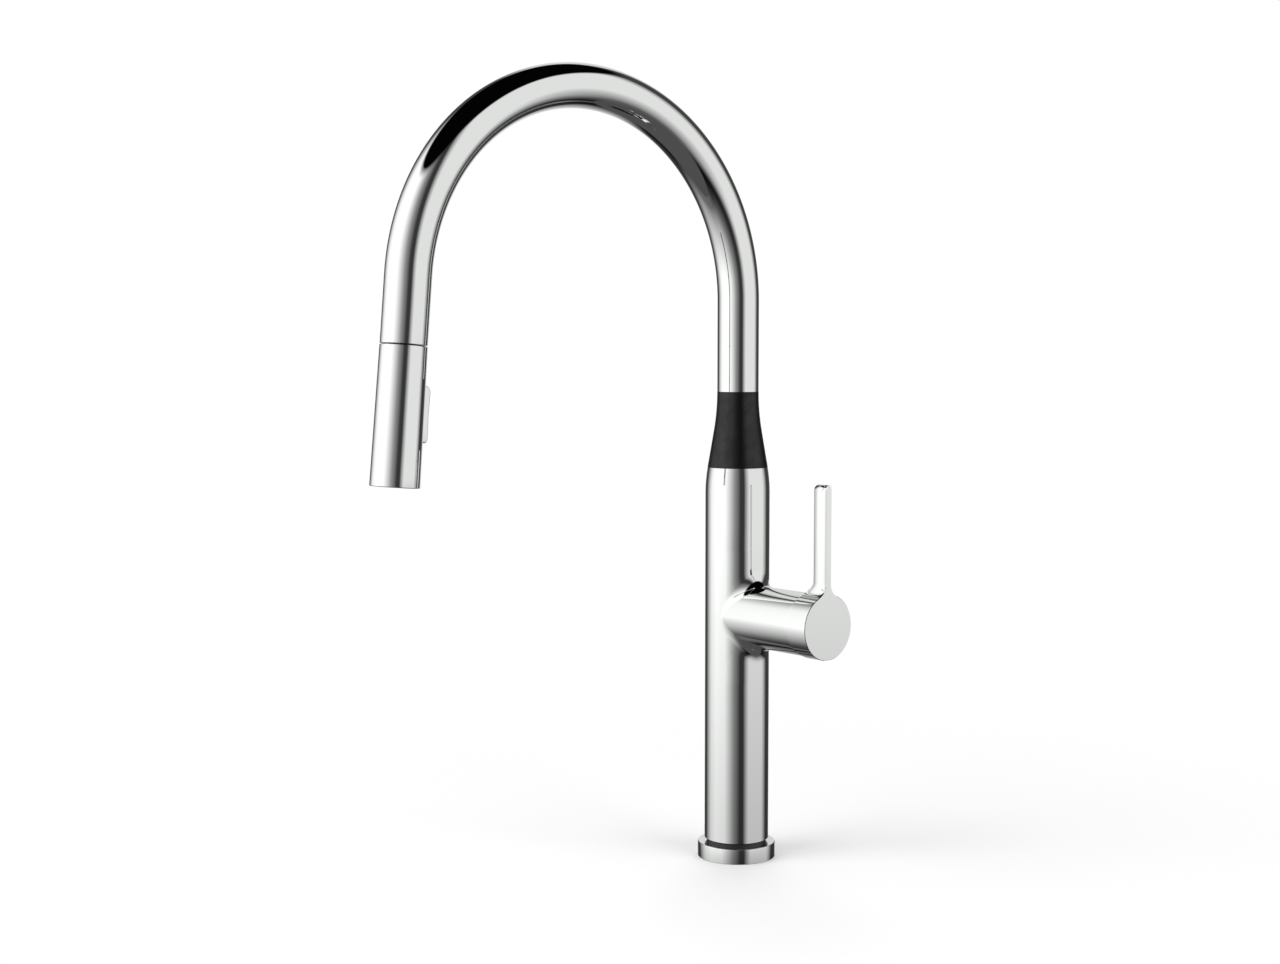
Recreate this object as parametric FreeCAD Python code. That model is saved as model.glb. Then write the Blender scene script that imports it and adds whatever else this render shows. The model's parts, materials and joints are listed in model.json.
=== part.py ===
"""Pull-down kitchen faucet: side lever, gooseneck spout and a spray head that docks in its end.

Millimetres. The origin is the centre of the base ring on the worktop. +Z is up, the spout
reaches towards -Y and the lever stands on the +X side. One STEP file is written per piece.
"""
import FreeCAD
import Part
import math
import os

V = FreeCAD.Vector
X = V(1, 0, 0)
Y = V(0, 1, 0)
Z = V(0, 0, 1)
ORIGIN = V(0, 0, 0)

# ---- clearances ---------------------------------------------------------------------------
running_gap = 0.05        # radial, between a turning piece and its bearing
free_gap = 0.3            # between pieces of different bodies that only pass each other
fitted_gap = 0.05         # radial, between two fixed pieces slipped into each other

# ---- base and swivel ----------------------------------------------------------------------
shank_radius = 16.0       # threaded shank below the worktop
shank_length = 50.0
shank_wall = 3.0
base_ring_radius = 24.15
base_ring_height = 9.4
base_ring_chamfer = 0.4
gasket_height = 1.5
gasket_inset = 1.35       # from the ring's rim to the gasket
gasket_width = 4.3
post_step = 0.5           # the swivel post above is this much thinner all round
shoulder_radial = 1.2     # how far the shoulder on the base ring stands out from the thread
shoulder_bottom = 4.0
shadow_gap_height = 2.0   # between the base ring and the body
shadow_gap_depth = 1.5    # how far the glide ring lies inside the body's wall
post_top = 42.0           # the height of the body's bearing shoulder
band_height = 2.5         # nylon bands in the post
band_depth = 1.2
band_slit = 1.5
swivel_nut_height = 4.5
post_thread_depth = 1.0

# ---- body ---------------------------------------------------------------------------------
body_radius = 20.0
shell_wall = 2.7          # the body's wall above the post
body_chamfer = 0.5
taper_start = 228.0
taper_angle = 9.6         # degrees, the straight stretch of the S-shaped taper
taper_lower_arc = 96.0
taper_upper_arc = 144.0
spigot_length = 10.0
spigot_wall = 1.6

# ---- spout --------------------------------------------------------------------------------
tube_radius = 12.77
tube_wall = 1.47
neck_length = 55.1        # straight tube between the taper and the arc
arc_radius = 120.0
arc_sweep = 175.1         # degrees
leg_length = 37.6

# ---- valve boss, cartridge and lever ------------------------------------------------------
handle_height = 152.65
boss_radius = 18.9
boss_fillet = 9.0
boss_end = 65.75
cartridge_radius = 14.0
cartridge_wall = 1.5
cartridge_rear = 26.0
cartridge_front = 50.0
cartridge_rear_wall = 4.0
disc_height = 3.0
nut_length = 7.5
nut_rim = 1.5             # how far the cartridge nut is wider than the cartridge
spindle_neck_radius = 7.9
carrier_length = 8.0
flange_radius = 13.5
flange_rear = 58.6
flange_front = 64.5
hub_radius = 19.6
hub_seam = 0.5            # between the boss and the hub
hub_front = 78.7
hub_wall = 4.1
hub_front_wall = 4.5
tilt_pivot_drop = 8.75    # the tilt pin lies this far below the boss's axis
tilt_pivot_x = 66.3
tilt_limit = 20.0         # degrees
pin_radius = 1.5
lug_radius = 3.0
lug_width = 6.0
ear_width = 3.0
stem_radius = 2.0
lever_top = 237.2
lever_flat = 4.15         # width of the lever's flat front
lever_half_depth = 6.4
lever_half_width = 3.4
lever_centre_x = 73.6
lever_tip_margin = 0.05    # the round tip is this much wider than the stem on each side
lever_foot_fillet = 8.7
screw_radius = 2.0
screw_plug_radius = 2.8

# ---- water ways ---------------------------------------------------------------------------
manifold_bottom = 50.0
manifold_height = 12.0
inlet_radius = 4.46       # bore of an M10 x 1 thread
inlet_depth = 8.0
inlet_spread = 6.6
inlet_offset = -5.0
outlet_to_bore = 0.9      # between the outlet tube and the shank's bore
water_tube_radius = 2.5
water_tube_wall = 0.6
water_tube_bend = 9.0
hot_port_drop = -5.5
cold_port_rise = 6.5
hose_radius = 5.5
hose_bore = 3.25
hose_to_bore = 1.0        # between the hose and the shank's bore
hose_shift_radius = 100.0
hose_shift_start = 190.0

# ---- dock and spray head (heights up the leg from the seam, so the head lies below 0) ------
seam_gap = 0.5
seam_chamfer = 0.3
dock_bore = 8.9
dock_height = 12.0
guide_height = 8.0
guide_bore = 6.2
magnet_height = 4.0
magnet_bottom = 4.0
magnet_width = 1.3
head_length = 75.7
head_top_radius = 12.84
head_end_radius = 13.53
head_wall = 1.4
head_top_wall = 1.75
core_neck_height = 11.0
core_setback = 6.5        # from the shell's end up to the waterway core
face_recess = 0.9         # from the shell's end up to the spray face
face_height = 4.3
nozzle_sheet = 1.1
nozzle_radius = 0.75
nozzle_reach = 0.6
nozzle_rows = ((12, 7.6), (18, 10.2))
aerator_radius = 5.5
aerator_height = 8.0
water_way_radius = 3.9
retainer_radius = 6.5
ball_radius = 5.2
ball_drop = 6.5
fitting_radius = 3.2
fitting_bore = 2.0
fitting_reach = 24.0
ferrule_wall = 0.45
ferrule_height = 14.0
valve_length = 9.0
spool_length = 18.0

# ---- rocker button on the back of the head -------------------------------------------------
rocker_length = 31.0
rocker_width = 10.0
rocker_setback = 39.8     # from the shell's end up to the middle of the rocker
rocker_proud = 2.7
rocker_dip = 0.35
rocker_top_round = 4.0
rocker_end_round = 2.3
rocker_side_round = 1.2
rocker_depth = 3.1        # from the head's surface inwards
rocker_end_gap = 0.55
rocker_pin_radius = 0.8
rocker_pin_depth = 4.0    # the pin's axis, inwards from the head's surface
rocker_lug_radius = 1.7

# ---- sizes that follow from the ones above -------------------------------------------------
post_radius = shank_radius - post_step
shank_bore = shank_radius - shank_wall
hose_offset = shank_bore - hose_to_bore - hose_radius
outlet_offset = -(shank_bore - outlet_to_bore - water_tube_radius)
body_bottom = base_ring_height + shadow_gap_height
cavity_radius = body_radius - shell_wall
taper_turn = math.radians(taper_angle)
arcs_width = (taper_lower_arc + taper_upper_arc) * (1 - math.cos(taper_turn))
taper_straight = (body_radius - tube_radius - arcs_width) / math.sin(taper_turn)
tube_bottom = (taper_start + (taper_lower_arc + taper_upper_arc) * math.sin(taper_turn)
               + taper_straight * math.cos(taper_turn))
tube_bore = tube_radius - tube_wall
arc_bottom = tube_bottom + neck_length
leg_lean = 180.0 - arc_sweep
down_leg = V(0, -math.sin(math.radians(leg_lean)), -math.cos(math.radians(leg_lean)))
arc_end = V(0, -arc_radius * (1 + math.cos(math.radians(leg_lean))),
            arc_bottom + arc_radius * math.sin(math.radians(leg_lean)))
seam_centre = arc_end + down_leg * leg_length
boss_axis = V(0, 0, handle_height)
hub_rear = boss_end + hub_seam
core_end = head_length - core_setback
face_bottom = head_length - face_recess
rocker_centre = head_length - rocker_setback
hub_bore = hub_radius - hub_wall
hub_floor = hub_front - hub_front_wall
tilt_pivot = V(tilt_pivot_x, 0, handle_height - tilt_pivot_drop)
boss_bore = cartridge_radius + fitted_gap
nut_radius = cartridge_radius + nut_rim
nut_seat = nut_radius + fitted_gap
spindle_bore = spindle_neck_radius + running_gap


# ---- shared ways of making solids ----------------------------------------------------------
def cylinder(radius, low, high, axis=Z, centre=ORIGIN):
    """A cylinder about the line through centre, between two distances along axis."""
    return Part.makeCylinder(radius, high - low, centre + axis * low, axis)


def ring(inner, outer, low, high, axis=Z, centre=ORIGIN):
    """A plain ring about the line through centre."""
    return cylinder(outer, low, high, axis, centre).cut(cylinder(inner, low - 1, high + 1, axis, centre))


def block(low, high):
    """A box between two corners."""
    size = high - low
    return Part.makeBox(size.x, size.y, size.z, low)


def turned(edges):
    """The solid that a closed chain of edges in the XZ plane sweeps round the Z axis."""
    return Part.Face(Part.Wire(edges)).revolve(ORIGIN, Z, 360)


def turned_outline(points):
    """A turned solid whose outline is straight between (radius, height) points."""
    corners = [V(radius, 0, height) for radius, height in points]
    return Part.Face(Part.makePolygon(corners + corners[:1])).revolve(ORIGIN, Z, 360)


def pipe(path, outer, inner=0.0):
    """A round pipe along a smooth chain of lines and arcs that starts along +Z."""
    start = path[0].Vertexes[0].Point
    spine = Part.Wire(path)
    solid = spine.makePipe(Part.Face(Part.Wire(Part.makeCircle(outer, start, Z))))
    if inner > 0:
        solid = solid.cut(spine.makePipe(Part.Face(Part.Wire(Part.makeCircle(inner, start, Z)))))
    return solid


def arc_through(start, middle, end):
    return Part.Arc(start, middle, end).toShape()


def line(start, end):
    return Part.LineSegment(start, end).toShape()


def at_dock(shape):
    """Moves a solid from the dock's frame (origin at the seam, +Z up the leg) into its place."""
    moved = shape.copy()
    moved.rotate(ORIGIN, X, -leg_lean)
    moved.translate(seam_centre)
    return moved


def on_circle(count, radius):
    """Evenly spaced points on a circle about the Z axis."""
    turn = 2 * math.pi / count
    return [V(radius * math.cos(turn * i), radius * math.sin(turn * i), 0) for i in range(count)]


# ---- base: everything that stays still on the worktop --------------------------------------
def make_base_ring():
    """Ring on the worktop, clamped down by the post's shoulder, grooved below for its gasket."""
    outer = cylinder(base_ring_radius, 0, base_ring_height)
    rims = [edge for edge in outer.Edges if edge.Closed]
    top_rim = max(rims, key=lambda edge: edge.BoundBox.ZMax)
    outer = outer.makeChamfer(base_ring_chamfer, [top_rim])
    bore = cylinder(shank_radius + fitted_gap, -1, base_ring_height + 1)
    seat = cylinder(shank_radius + shoulder_radial + fitted_gap, shoulder_bottom, base_ring_height + 1)
    groove_rim = base_ring_radius - gasket_inset
    groove = ring(groove_rim - gasket_width, groove_rim, -1, gasket_height)
    return outer.cut(bore).cut(seat).cut(groove)


def make_deck_gasket():
    rim = base_ring_radius - gasket_inset
    return ring(rim - gasket_width, rim, 0, gasket_height)


def band_heights():
    """Bottoms of the two nylon bands, near the ends of the bearing."""
    low = body_bottom + 2 * band_height
    high = post_top - 3 * band_height
    return low, high


def make_mounting_shank():
    """Hollow threaded shank, with the swivel post above the worktop."""
    shoulder = shank_radius + shoulder_radial
    thread = post_radius - post_thread_depth
    post = cylinder(shank_radius, -shank_length, 0)
    post = post.fuse(cylinder(post_radius, 0, post_top))
    post = post.fuse(cylinder(shoulder, shoulder_bottom, base_ring_height))
    post = post.fuse(cylinder(thread, post_top, post_top + swivel_nut_height + running_gap))
    for bottom in band_heights():
        post = post.cut(ring(post_radius - band_depth, post_radius + 1, bottom, bottom + band_height))
    bore = cylinder(shank_bore, -shank_length - 1, post_top + swivel_nut_height + 1)
    return post.cut(bore).removeSplitter()


def make_swivel_glide_ring():
    """Black ring in the shadow gap that the body turns on."""
    return ring(post_radius + running_gap, body_radius - shadow_gap_depth,
                base_ring_height, body_bottom - running_gap)


def make_swivel_band(bottom):
    """Split nylon band in the post that takes up the play of the swivel."""
    band = ring(post_radius - band_depth, post_radius - 0.02, bottom, bottom + band_height)
    slit = block(V(-post_radius - 1, -band_slit / 2, bottom - 1),
                 V(0, band_slit / 2, bottom + band_height + 1))
    return band.cut(slit)


def make_swivel_nut():
    """Slotted nut on the post that keeps the body from lifting."""
    low = post_top + running_gap
    nut = ring(post_radius - post_thread_depth, cavity_radius - running_gap, low, low + swivel_nut_height)
    for centre in on_circle(4, cavity_radius):
        nut = nut.cut(cylinder(1.2, low - 1, low + swivel_nut_height + 1, Z, centre))
    return nut


# ---- body: the outer shell, its boss and what it holds -------------------------------------
def taper_edges(inset):
    """The S-shaped taper as three edges, and its ends, moved inwards by a wall's thickness."""
    lower = taper_lower_arc - inset
    upper = taper_upper_arc + inset
    start = V(body_radius - inset, 0, taper_start)
    turn = taper_turn
    lower_end = start + V(-lower * (1 - math.cos(turn)), 0, lower * math.sin(turn))
    lower_mid = start + V(-lower * (1 - math.cos(turn / 2)), 0, lower * math.sin(turn / 2))
    upper_start = lower_end + V(-taper_straight * math.sin(turn), 0, taper_straight * math.cos(turn))
    end = upper_start + V(-upper * (1 - math.cos(turn)), 0, upper * math.sin(turn))
    upper_mid = end + V(upper * (1 - math.cos(turn / 2)), 0, -upper * math.sin(turn / 2))
    edges = [arc_through(start, lower_mid, lower_end),
             line(lower_end, upper_start),
             arc_through(upper_start, upper_mid, end)]
    return start, edges, end


def tapered_solid(inset, bottom, top):
    """A solid of the body's outline from bottom, through the taper, to top."""
    start, taper, end = taper_edges(inset)
    edges = [line(V(0, 0, bottom), V(start.x, 0, bottom)), line(V(start.x, 0, bottom), start)]
    edges += taper
    edges += [line(end, V(end.x, 0, top)), line(V(end.x, 0, top), V(0, 0, top)),
              line(V(0, 0, top), V(0, 0, bottom))]
    return turned(edges)


def make_body_shell():
    """Cast brass body: bearing at the foot, valve boss at the side, taper and spigot on top."""
    column = tapered_solid(0, body_bottom, tube_bottom + 1)
    column = column.cut(cylinder(body_radius + 1, tube_bottom, tube_bottom + 2))
    rims = [edge for edge in column.Edges if edge.Closed and edge.BoundBox.ZMax < body_bottom + 0.01]
    column = column.makeChamfer(body_chamfer, rims)
    shell = column.fuse(cylinder(boss_radius, 0, boss_end, X, boss_axis))
    joint = [edge for edge in shell.Edges
             if edge.BoundBox.ZMin < handle_height < edge.BoundBox.ZMax
             and edge.BoundBox.YLength > boss_radius and edge.BoundBox.XMax < boss_end - 1]
    shell = shell.makeFillet(boss_fillet, joint)
    spigot = cylinder(tube_bore - fitted_gap, tube_bottom - 2, tube_bottom + spigot_length)
    shell = shell.fuse(spigot)
    top_bore = tube_bore - fitted_gap - spigot_wall
    inside = tapered_solid(shell_wall, post_top, tube_bottom + 1)
    inside = inside.common(cylinder(cavity_radius + 1, 0, tube_bottom - 2))
    bearing = cylinder(post_radius + running_gap, 0, post_top + 1)
    shell = shell.cut(inside).cut(bearing).cut(cylinder(top_bore, taper_start, tube_bottom + 99))
    shell = shell.cut(cylinder(boss_bore, 0, boss_end + 1, X, boss_axis))
    return shell.cut(cylinder(nut_seat, cartridge_front, boss_end + 1, X, boss_axis))


def spout_path():
    """Centreline of the spout, from the body to the docking seam."""
    foot = V(0, 0, tube_bottom)
    arc_start = V(0, 0, arc_bottom)
    half = math.radians(arc_sweep / 2)
    arc_middle = V(0, arc_radius * (math.cos(half) - 1), arc_bottom + arc_radius * math.sin(half))
    return [line(foot, arc_start), arc_through(arc_start, arc_middle, arc_end),
            line(arc_end, seam_centre - down_leg * (seam_gap / 2))]


def make_spout_tube():
    tube = pipe(spout_path(), tube_radius, tube_bore)
    trim = turned_outline([(tube_radius - seam_chamfer, 0), (tube_radius + 1, 0),
                           (tube_radius + 1, seam_gap / 2 + seam_chamfer + 1),
                           (tube_radius, seam_gap / 2 + seam_chamfer + 1),
                           (tube_radius, seam_gap / 2 + seam_chamfer),
                           (tube_radius - seam_chamfer, seam_gap / 2)])
    return tube.cut(at_dock(trim))


def make_inlet_manifold():
    """Brass disc across the body that the supply hoses screw into from below."""
    top = manifold_bottom + manifold_height
    disc = cylinder(cavity_radius - fitted_gap, manifold_bottom, top)
    for side in (-1, 1):
        port = V(side * inlet_spread, inlet_offset, 0)
        disc = disc.cut(cylinder(inlet_radius, manifold_bottom - 1, manifold_bottom + inlet_depth, Z, port))
        disc = disc.cut(cylinder(water_tube_radius - water_tube_wall, manifold_bottom, top + 1, Z, port))
    disc = disc.cut(cylinder(hose_radius + free_gap, manifold_bottom - 1, top + 1, Z, V(0, hose_offset, 0)))
    outlet = V(0, outlet_offset, 0)
    return disc.cut(cylinder(water_tube_radius + fitted_gap, manifold_bottom - 1, top + 1, Z, outlet))


def make_water_tube(foot, port_height):
    """Copper tube that climbs from foot and turns into the back of the cartridge."""
    bend = water_tube_bend
    top = foot + V(0, 0, port_height - bend - foot.z)
    elbow_end = top + V(bend, 0, bend)
    half = bend * (1 - math.sqrt(0.5))
    elbow = arc_through(top, top + V(half, 0, bend - half), elbow_end)
    end = V(cartridge_rear, foot.y, port_height)
    path = [line(foot, top), elbow, line(elbow_end, end)]
    return pipe(path, water_tube_radius, water_tube_radius - water_tube_wall)


def make_feed_tube(side, port_height):
    return make_water_tube(V(side * inlet_spread, inlet_offset, manifold_bottom + manifold_height), port_height)


def make_outlet_tube():
    return make_water_tube(V(0, outlet_offset, -shank_length), handle_height)


def make_cartridge_housing():
    """Plastic cup of the ceramic cartridge, with the ports in its rear wall."""
    inside = cartridge_radius - cartridge_wall
    cup = cylinder(cartridge_radius, cartridge_rear, cartridge_front, X, boss_axis)
    cup = cup.cut(cylinder(inside, cartridge_rear + cartridge_rear_wall,
                           cartridge_front - cartridge_wall, X, boss_axis))
    cup = cup.cut(cylinder(spindle_bore, cartridge_rear + cartridge_rear_wall,
                           cartridge_front + 1, X, boss_axis))
    for y, z in port_places():
        cup = cup.cut(cylinder(water_tube_radius - water_tube_wall, cartridge_rear - 1,
                               cartridge_front - 2 * cartridge_wall - carrier_length, X, V(0, y, z)))
    return cup


def port_places():
    return ((inlet_offset, handle_height + hot_port_drop),
            (inlet_offset, handle_height + cold_port_rise),
            (outlet_offset, handle_height))


def disc_plate(low):
    radius = cartridge_radius - cartridge_wall - running_gap
    return cylinder(radius, low, low + disc_height, X, boss_axis)


def make_ceramic_disc_fixed():
    disc = disc_plate(cartridge_rear + cartridge_rear_wall)
    for y, z in port_places():
        disc = disc.cut(cylinder(water_tube_radius - water_tube_wall, cartridge_rear,
                                 cartridge_front, X, V(0, y, z)))
    return disc


def moving_disc_rear():
    return cartridge_rear + cartridge_rear_wall + disc_height + running_gap


def make_ceramic_disc_moving():
    """Upper disc, with the mixing chamber sunk into its sealing face."""
    low = moving_disc_rear()
    chamber = cylinder(cartridge_radius / 2, low - 1, low + disc_height / 2, X, boss_axis)
    return disc_plate(low).cut(chamber)


def make_cartridge_nut():
    """Brass nut that screws into the boss and clamps the cartridge."""
    nut = ring(spindle_bore + free_gap, nut_radius, cartridge_front,
               cartridge_front + nut_length, X, boss_axis)
    for spot in on_circle(4, nut_radius - 2.5):
        notch = V(0, spot.x, spot.y) + boss_axis
        nut = nut.cut(cylinder(1.4, cartridge_front + nut_length - 3, cartridge_front + nut_length + 1,
                               X, notch))
    return nut


# ---- handle: the spindle turns, and the lever tilts on its pin -----------------------------
def make_cartridge_spindle():
    """Carrier, neck and front flange in one, with two ears for the tilt pin."""
    carrier_rear = moving_disc_rear() + disc_height
    carrier = cylinder(cartridge_radius - cartridge_wall - running_gap, carrier_rear,
                       carrier_rear + carrier_length, X, boss_axis)
    neck = cylinder(spindle_neck_radius, carrier_rear, flange_front, X, boss_axis)
    flange = cylinder(flange_radius, flange_rear, flange_front, X, boss_axis)
    spindle = carrier.fuse(neck).fuse(flange)
    ear_low = lug_width / 2 + running_gap
    for side in (-1, 1):
        near = min(side * ear_low, side * (ear_low + ear_width))
        eye = cylinder(lug_radius, near, near + ear_width, Y, tilt_pivot)
        web = block(V(flange_front - 1, near, tilt_pivot.z - lug_radius),
                    V(tilt_pivot.x, near + ear_width, tilt_pivot.z + lug_radius))
        spindle = spindle.fuse(eye).fuse(web)
    lug_room = lug_width / 2 + running_gap
    spindle = spindle.cut(cylinder(lug_radius + free_gap, -lug_room, lug_room, Y, tilt_pivot))
    window = block(V(cartridge_front, -stem_radius - 1, handle_height - stem_radius - 1.5),
                   V(flange_front + 1, stem_radius + 1, handle_height + stem_radius + 5))
    neck_side = cylinder(spindle_neck_radius - 1.2, cartridge_front, flange_rear, X, boss_axis)
    front_side = block(V(flange_rear, -99, 0), V(flange_front + 2, 99, lever_top))
    spindle = spindle.cut(window.common(neck_side.fuse(front_side)))
    return spindle.cut(cylinder(pin_radius, -99, 99, Y, tilt_pivot)).removeSplitter()


def make_tilt_pin():
    half = lug_width / 2 + running_gap + ear_width
    return cylinder(pin_radius, -half, half, Y, tilt_pivot)


def lever_foot():
    """Front outline of the lever's foot: two hollow curves from the hub's rim up to the stem."""
    reach = hub_radius + lever_foot_fillet
    across = lever_flat / 2 + lever_foot_fillet
    rise = math.sqrt(reach ** 2 - across ** 2)
    rim = V(0, across, rise) * (hub_radius / reach)
    neck = V(0, lever_flat / 2, rise)
    middle_turn = V(0, across, rise) - (rim + neck) * 0.5
    middle = V(0, across, rise) - middle_turn.normalize() * lever_foot_fillet
    mirrored = [V(0, -point.y, point.z) for point in (rim, middle, neck)]
    edges = [arc_through(rim, middle, neck), line(neck, mirrored[2]),
             arc_through(mirrored[2], mirrored[1], mirrored[0]), line(mirrored[0], rim)]
    foot = Part.Face(Part.Wire(edges)).extrude(V(hub_front - hub_rear, 0, 0))
    foot.translate(boss_axis + X * hub_rear)
    return foot


def make_lever_handle():
    """Zinc casting: hub, foot and stem, hollow behind, with the lug that takes the tilt pin."""
    hub = cylinder(hub_radius, hub_rear, hub_front, X, boss_axis)
    oval = Part.Ellipse(V(0, 0, 0), lever_half_depth, lever_half_width).toShape()
    stem_length = lever_top - handle_height - hub_bore
    stem = Part.Face(Part.Wire(oval)).extrude(Z * stem_length)
    stem.translate(V(lever_centre_x, 0, lever_top - stem_length))
    tip_radius = lever_half_width + lever_tip_margin
    tip_height = lever_top - tip_radius
    right = V(0, tip_radius, tip_height)
    left = V(0, -tip_radius, tip_height)
    drop = Z * (stem_length + 1)
    arch = [arc_through(left, V(0, 0, lever_top), right), line(right, right - drop),
            line(right - drop, left - drop), line(left - drop, left)]
    stem = stem.common(Part.Face(Part.Wire(arch)).extrude(X * hub_front))
    handle = hub.fuse(lever_foot()).fuse(stem)
    handle = handle.cut(cylinder(hub_bore, 0, hub_floor, X, boss_axis))
    lug_half = lug_width / 2
    lug = cylinder(lug_radius, -lug_half, lug_half, Y, tilt_pivot)
    web = block(V(tilt_pivot.x, -lug_half, tilt_pivot.z - lug_radius),
                V(hub_floor + 1, lug_half, tilt_pivot.z + lug_radius))
    handle = handle.fuse(lug).fuse(web)
    relief = math.tan(math.radians(tilt_limit + 1)) * (hub_radius + 1)
    wedge = Part.makePolygon([V(hub_rear - 1, 0, tilt_pivot.z), V(hub_rear, 0, tilt_pivot.z),
                              V(hub_rear + relief, 0, tilt_pivot.z - hub_radius - 1),
                              V(hub_rear - 1, 0, tilt_pivot.z - hub_radius - 1),
                              V(hub_rear - 1, 0, tilt_pivot.z)])
    wedge = Part.Face(wedge).extrude(Y * (4 * hub_radius))
    wedge.translate(Y * (-2 * hub_radius))
    wedge = wedge.cut(cylinder(hub_bore - 1, 0, hub_front, X, boss_axis))
    handle = handle.cut(wedge)
    handle = handle.cut(cylinder(pin_radius + running_gap, -lug_half - 1, lug_half + 1, Y, tilt_pivot))
    screw_line = screw_place()
    handle = handle.cut(cylinder(screw_radius, 0, hub_radius + 1, Y, screw_line))
    handle = handle.cut(cylinder(screw_plug_radius, hub_radius - 1.6, hub_radius + 1, Y, screw_line))
    return handle.removeSplitter()


def screw_place():
    """Where the set screw's line crosses the middle plane of the faucet."""
    return V((hub_rear + hub_floor) / 2 + 1, 0, handle_height)


def adapter_reach():
    """How far the adapter block stretches towards the set screw."""
    return hub_bore - 4


def make_handle_adapter():
    """Nylon block in the hub that the set screw clamps to the stem."""
    body = block(V(hub_rear + 1, -adapter_reach(), handle_height - stem_radius - 1.5),
                 V(hub_floor, adapter_reach(), handle_height + stem_radius + 3.5))
    return body.cut(cylinder(stem_radius, hub_rear, hub_floor - 2, X, boss_axis))


def make_tilt_stem():
    return cylinder(stem_radius, flange_rear - 0.1, hub_floor - 2, X, boss_axis)


def make_handle_set_screw():
    screw = cylinder(screw_radius, adapter_reach(), hub_radius - 2.6, Y, screw_place())
    socket = Part.makePolygon([point for point in hexagon(1.15)])
    socket = Part.Face(socket).extrude(V(0, 0, 2.5))
    socket.rotate(ORIGIN, X, 90)
    socket.translate(screw_place() + Y * (hub_radius - 2.5))
    return screw.cut(socket)


def hexagon(radius):
    corners = on_circle(6, radius)
    return corners + corners[:1]


def make_set_screw_plug():
    return cylinder(screw_plug_radius, hub_radius - 1.6, hub_radius - 0.2, Y, screw_place())


# ---- hose -----------------------------------------------------------------------------------
def make_hose_upper():
    """The hose inside the body and the arc, from the shank's end to the top of the leg."""
    radius = hose_shift_radius
    turn = math.acos(1 - hose_offset / (2 * radius))
    foot = V(0, hose_offset, -shank_length)
    first = V(0, hose_offset, hose_shift_start)
    rise = radius * math.sin(turn)
    middle = V(0, hose_offset / 2, hose_shift_start + rise)
    last = V(0, 0, hose_shift_start + 2 * rise)
    sag = radius * (1 - math.cos(turn / 2))
    half_rise = radius * math.sin(turn / 2)
    arc_start = V(0, 0, arc_bottom)
    half = math.radians(arc_sweep / 2)
    arc_middle = V(0, arc_radius * (math.cos(half) - 1), arc_bottom + arc_radius * math.sin(half))
    path = [line(foot, first),
            arc_through(first, V(0, hose_offset - sag, first.z + half_rise), middle),
            arc_through(middle, V(0, sag, last.z - half_rise), last),
            line(last, arc_start), arc_through(arc_start, arc_middle, arc_end)]
    return pipe(path, hose_radius, hose_bore)


def ferrule_bottom():
    return core_neck_height + 1.0


def make_hose_lower():
    """The hose in the straight leg. It leaves the spout with the head."""
    return at_dock(ring(hose_bore, hose_radius, ferrule_bottom(), leg_length - free_gap))


def make_hose_ferrule():
    """Steel sleeve crimped round the hose's end."""
    bottom = ferrule_bottom()
    sleeve = ring(hose_radius, hose_radius + ferrule_wall, bottom, bottom + ferrule_height)
    return at_dock(sleeve)


def make_hose_fitting():
    """Brass fitting with the ball that the head swivels on."""
    stem = cylinder(fitting_radius, -ball_drop, fitting_reach)
    ball = Part.makeSphere(ball_radius, V(0, 0, -ball_drop))
    return at_dock(stem.fuse(ball).cut(cylinder(fitting_bore, -ball_drop - ball_radius - 1, fitting_reach + 1)))


# ---- dock in the end of the spout ------------------------------------------------------------
def make_dock_collar():
    """Plastic collar that takes the head's neck, with the magnet let into its outside."""
    collar = ring(dock_bore, tube_bore - fitted_gap, seam_gap, dock_height)
    return at_dock(collar.cut(ring(tube_bore - magnet_width, tube_bore + 1,
                                   magnet_bottom, magnet_bottom + magnet_height)))


def make_dock_magnet():
    return at_dock(ring(tube_bore - magnet_width, tube_bore - fitted_gap,
                        magnet_bottom, magnet_bottom + magnet_height))


def make_hose_guide():
    """White bush above the collar that keeps the hose in the middle of the tube."""
    guide = ring(guide_bore, tube_bore - fitted_gap, dock_height, dock_height + guide_height)
    funnel = turned_outline([(guide_bore, dock_height - 0.1), (guide_bore + 2, dock_height - 0.1),
                             (guide_bore, dock_height + 2)])
    return at_dock(guide.cut(funnel))


# ---- spray head --------------------------------------------------------------------------------
def head_radius(depth):
    """The head's outer radius at a depth below the seam."""
    return head_top_radius + (head_end_radius - head_top_radius) * depth / head_length


def core_radius():
    return head_top_radius - head_wall


def core_neck_radius():
    return dock_bore - free_gap


def face_radius():
    return head_end_radius - head_wall


def rocker_room():
    """The opening that the rocker stands in, through the shell and into the core."""
    half_length = rocker_length / 2 + rocker_end_gap
    half_width = rocker_width / 2 + free_gap
    floor = head_radius(rocker_centre) - rocker_depth - 1.3
    return block(V(-half_width, floor, -rocker_centre - half_length),
                 V(half_width, head_end_radius + 5, -rocker_centre + half_length))


def make_head_shell():
    top = seam_gap / 2
    outline = [(core_neck_radius() + fitted_gap, -top),
               (head_radius(0) - seam_chamfer, -top),
               (head_radius(0), -top - seam_chamfer),
               (head_end_radius, -head_length + seam_chamfer),
               (head_end_radius - seam_chamfer, -head_length),
               (face_radius() + seam_chamfer, -head_length),
               (face_radius(), -head_length + seam_chamfer),
               (face_radius(), -core_end + 4),
               (core_radius(), -core_end + 4),
               (core_radius(), -top - head_top_wall),
               (core_neck_radius() + fitted_gap, -top - head_top_wall)]
    return at_dock(turned_outline(outline).cut(rocker_room()))


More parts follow.
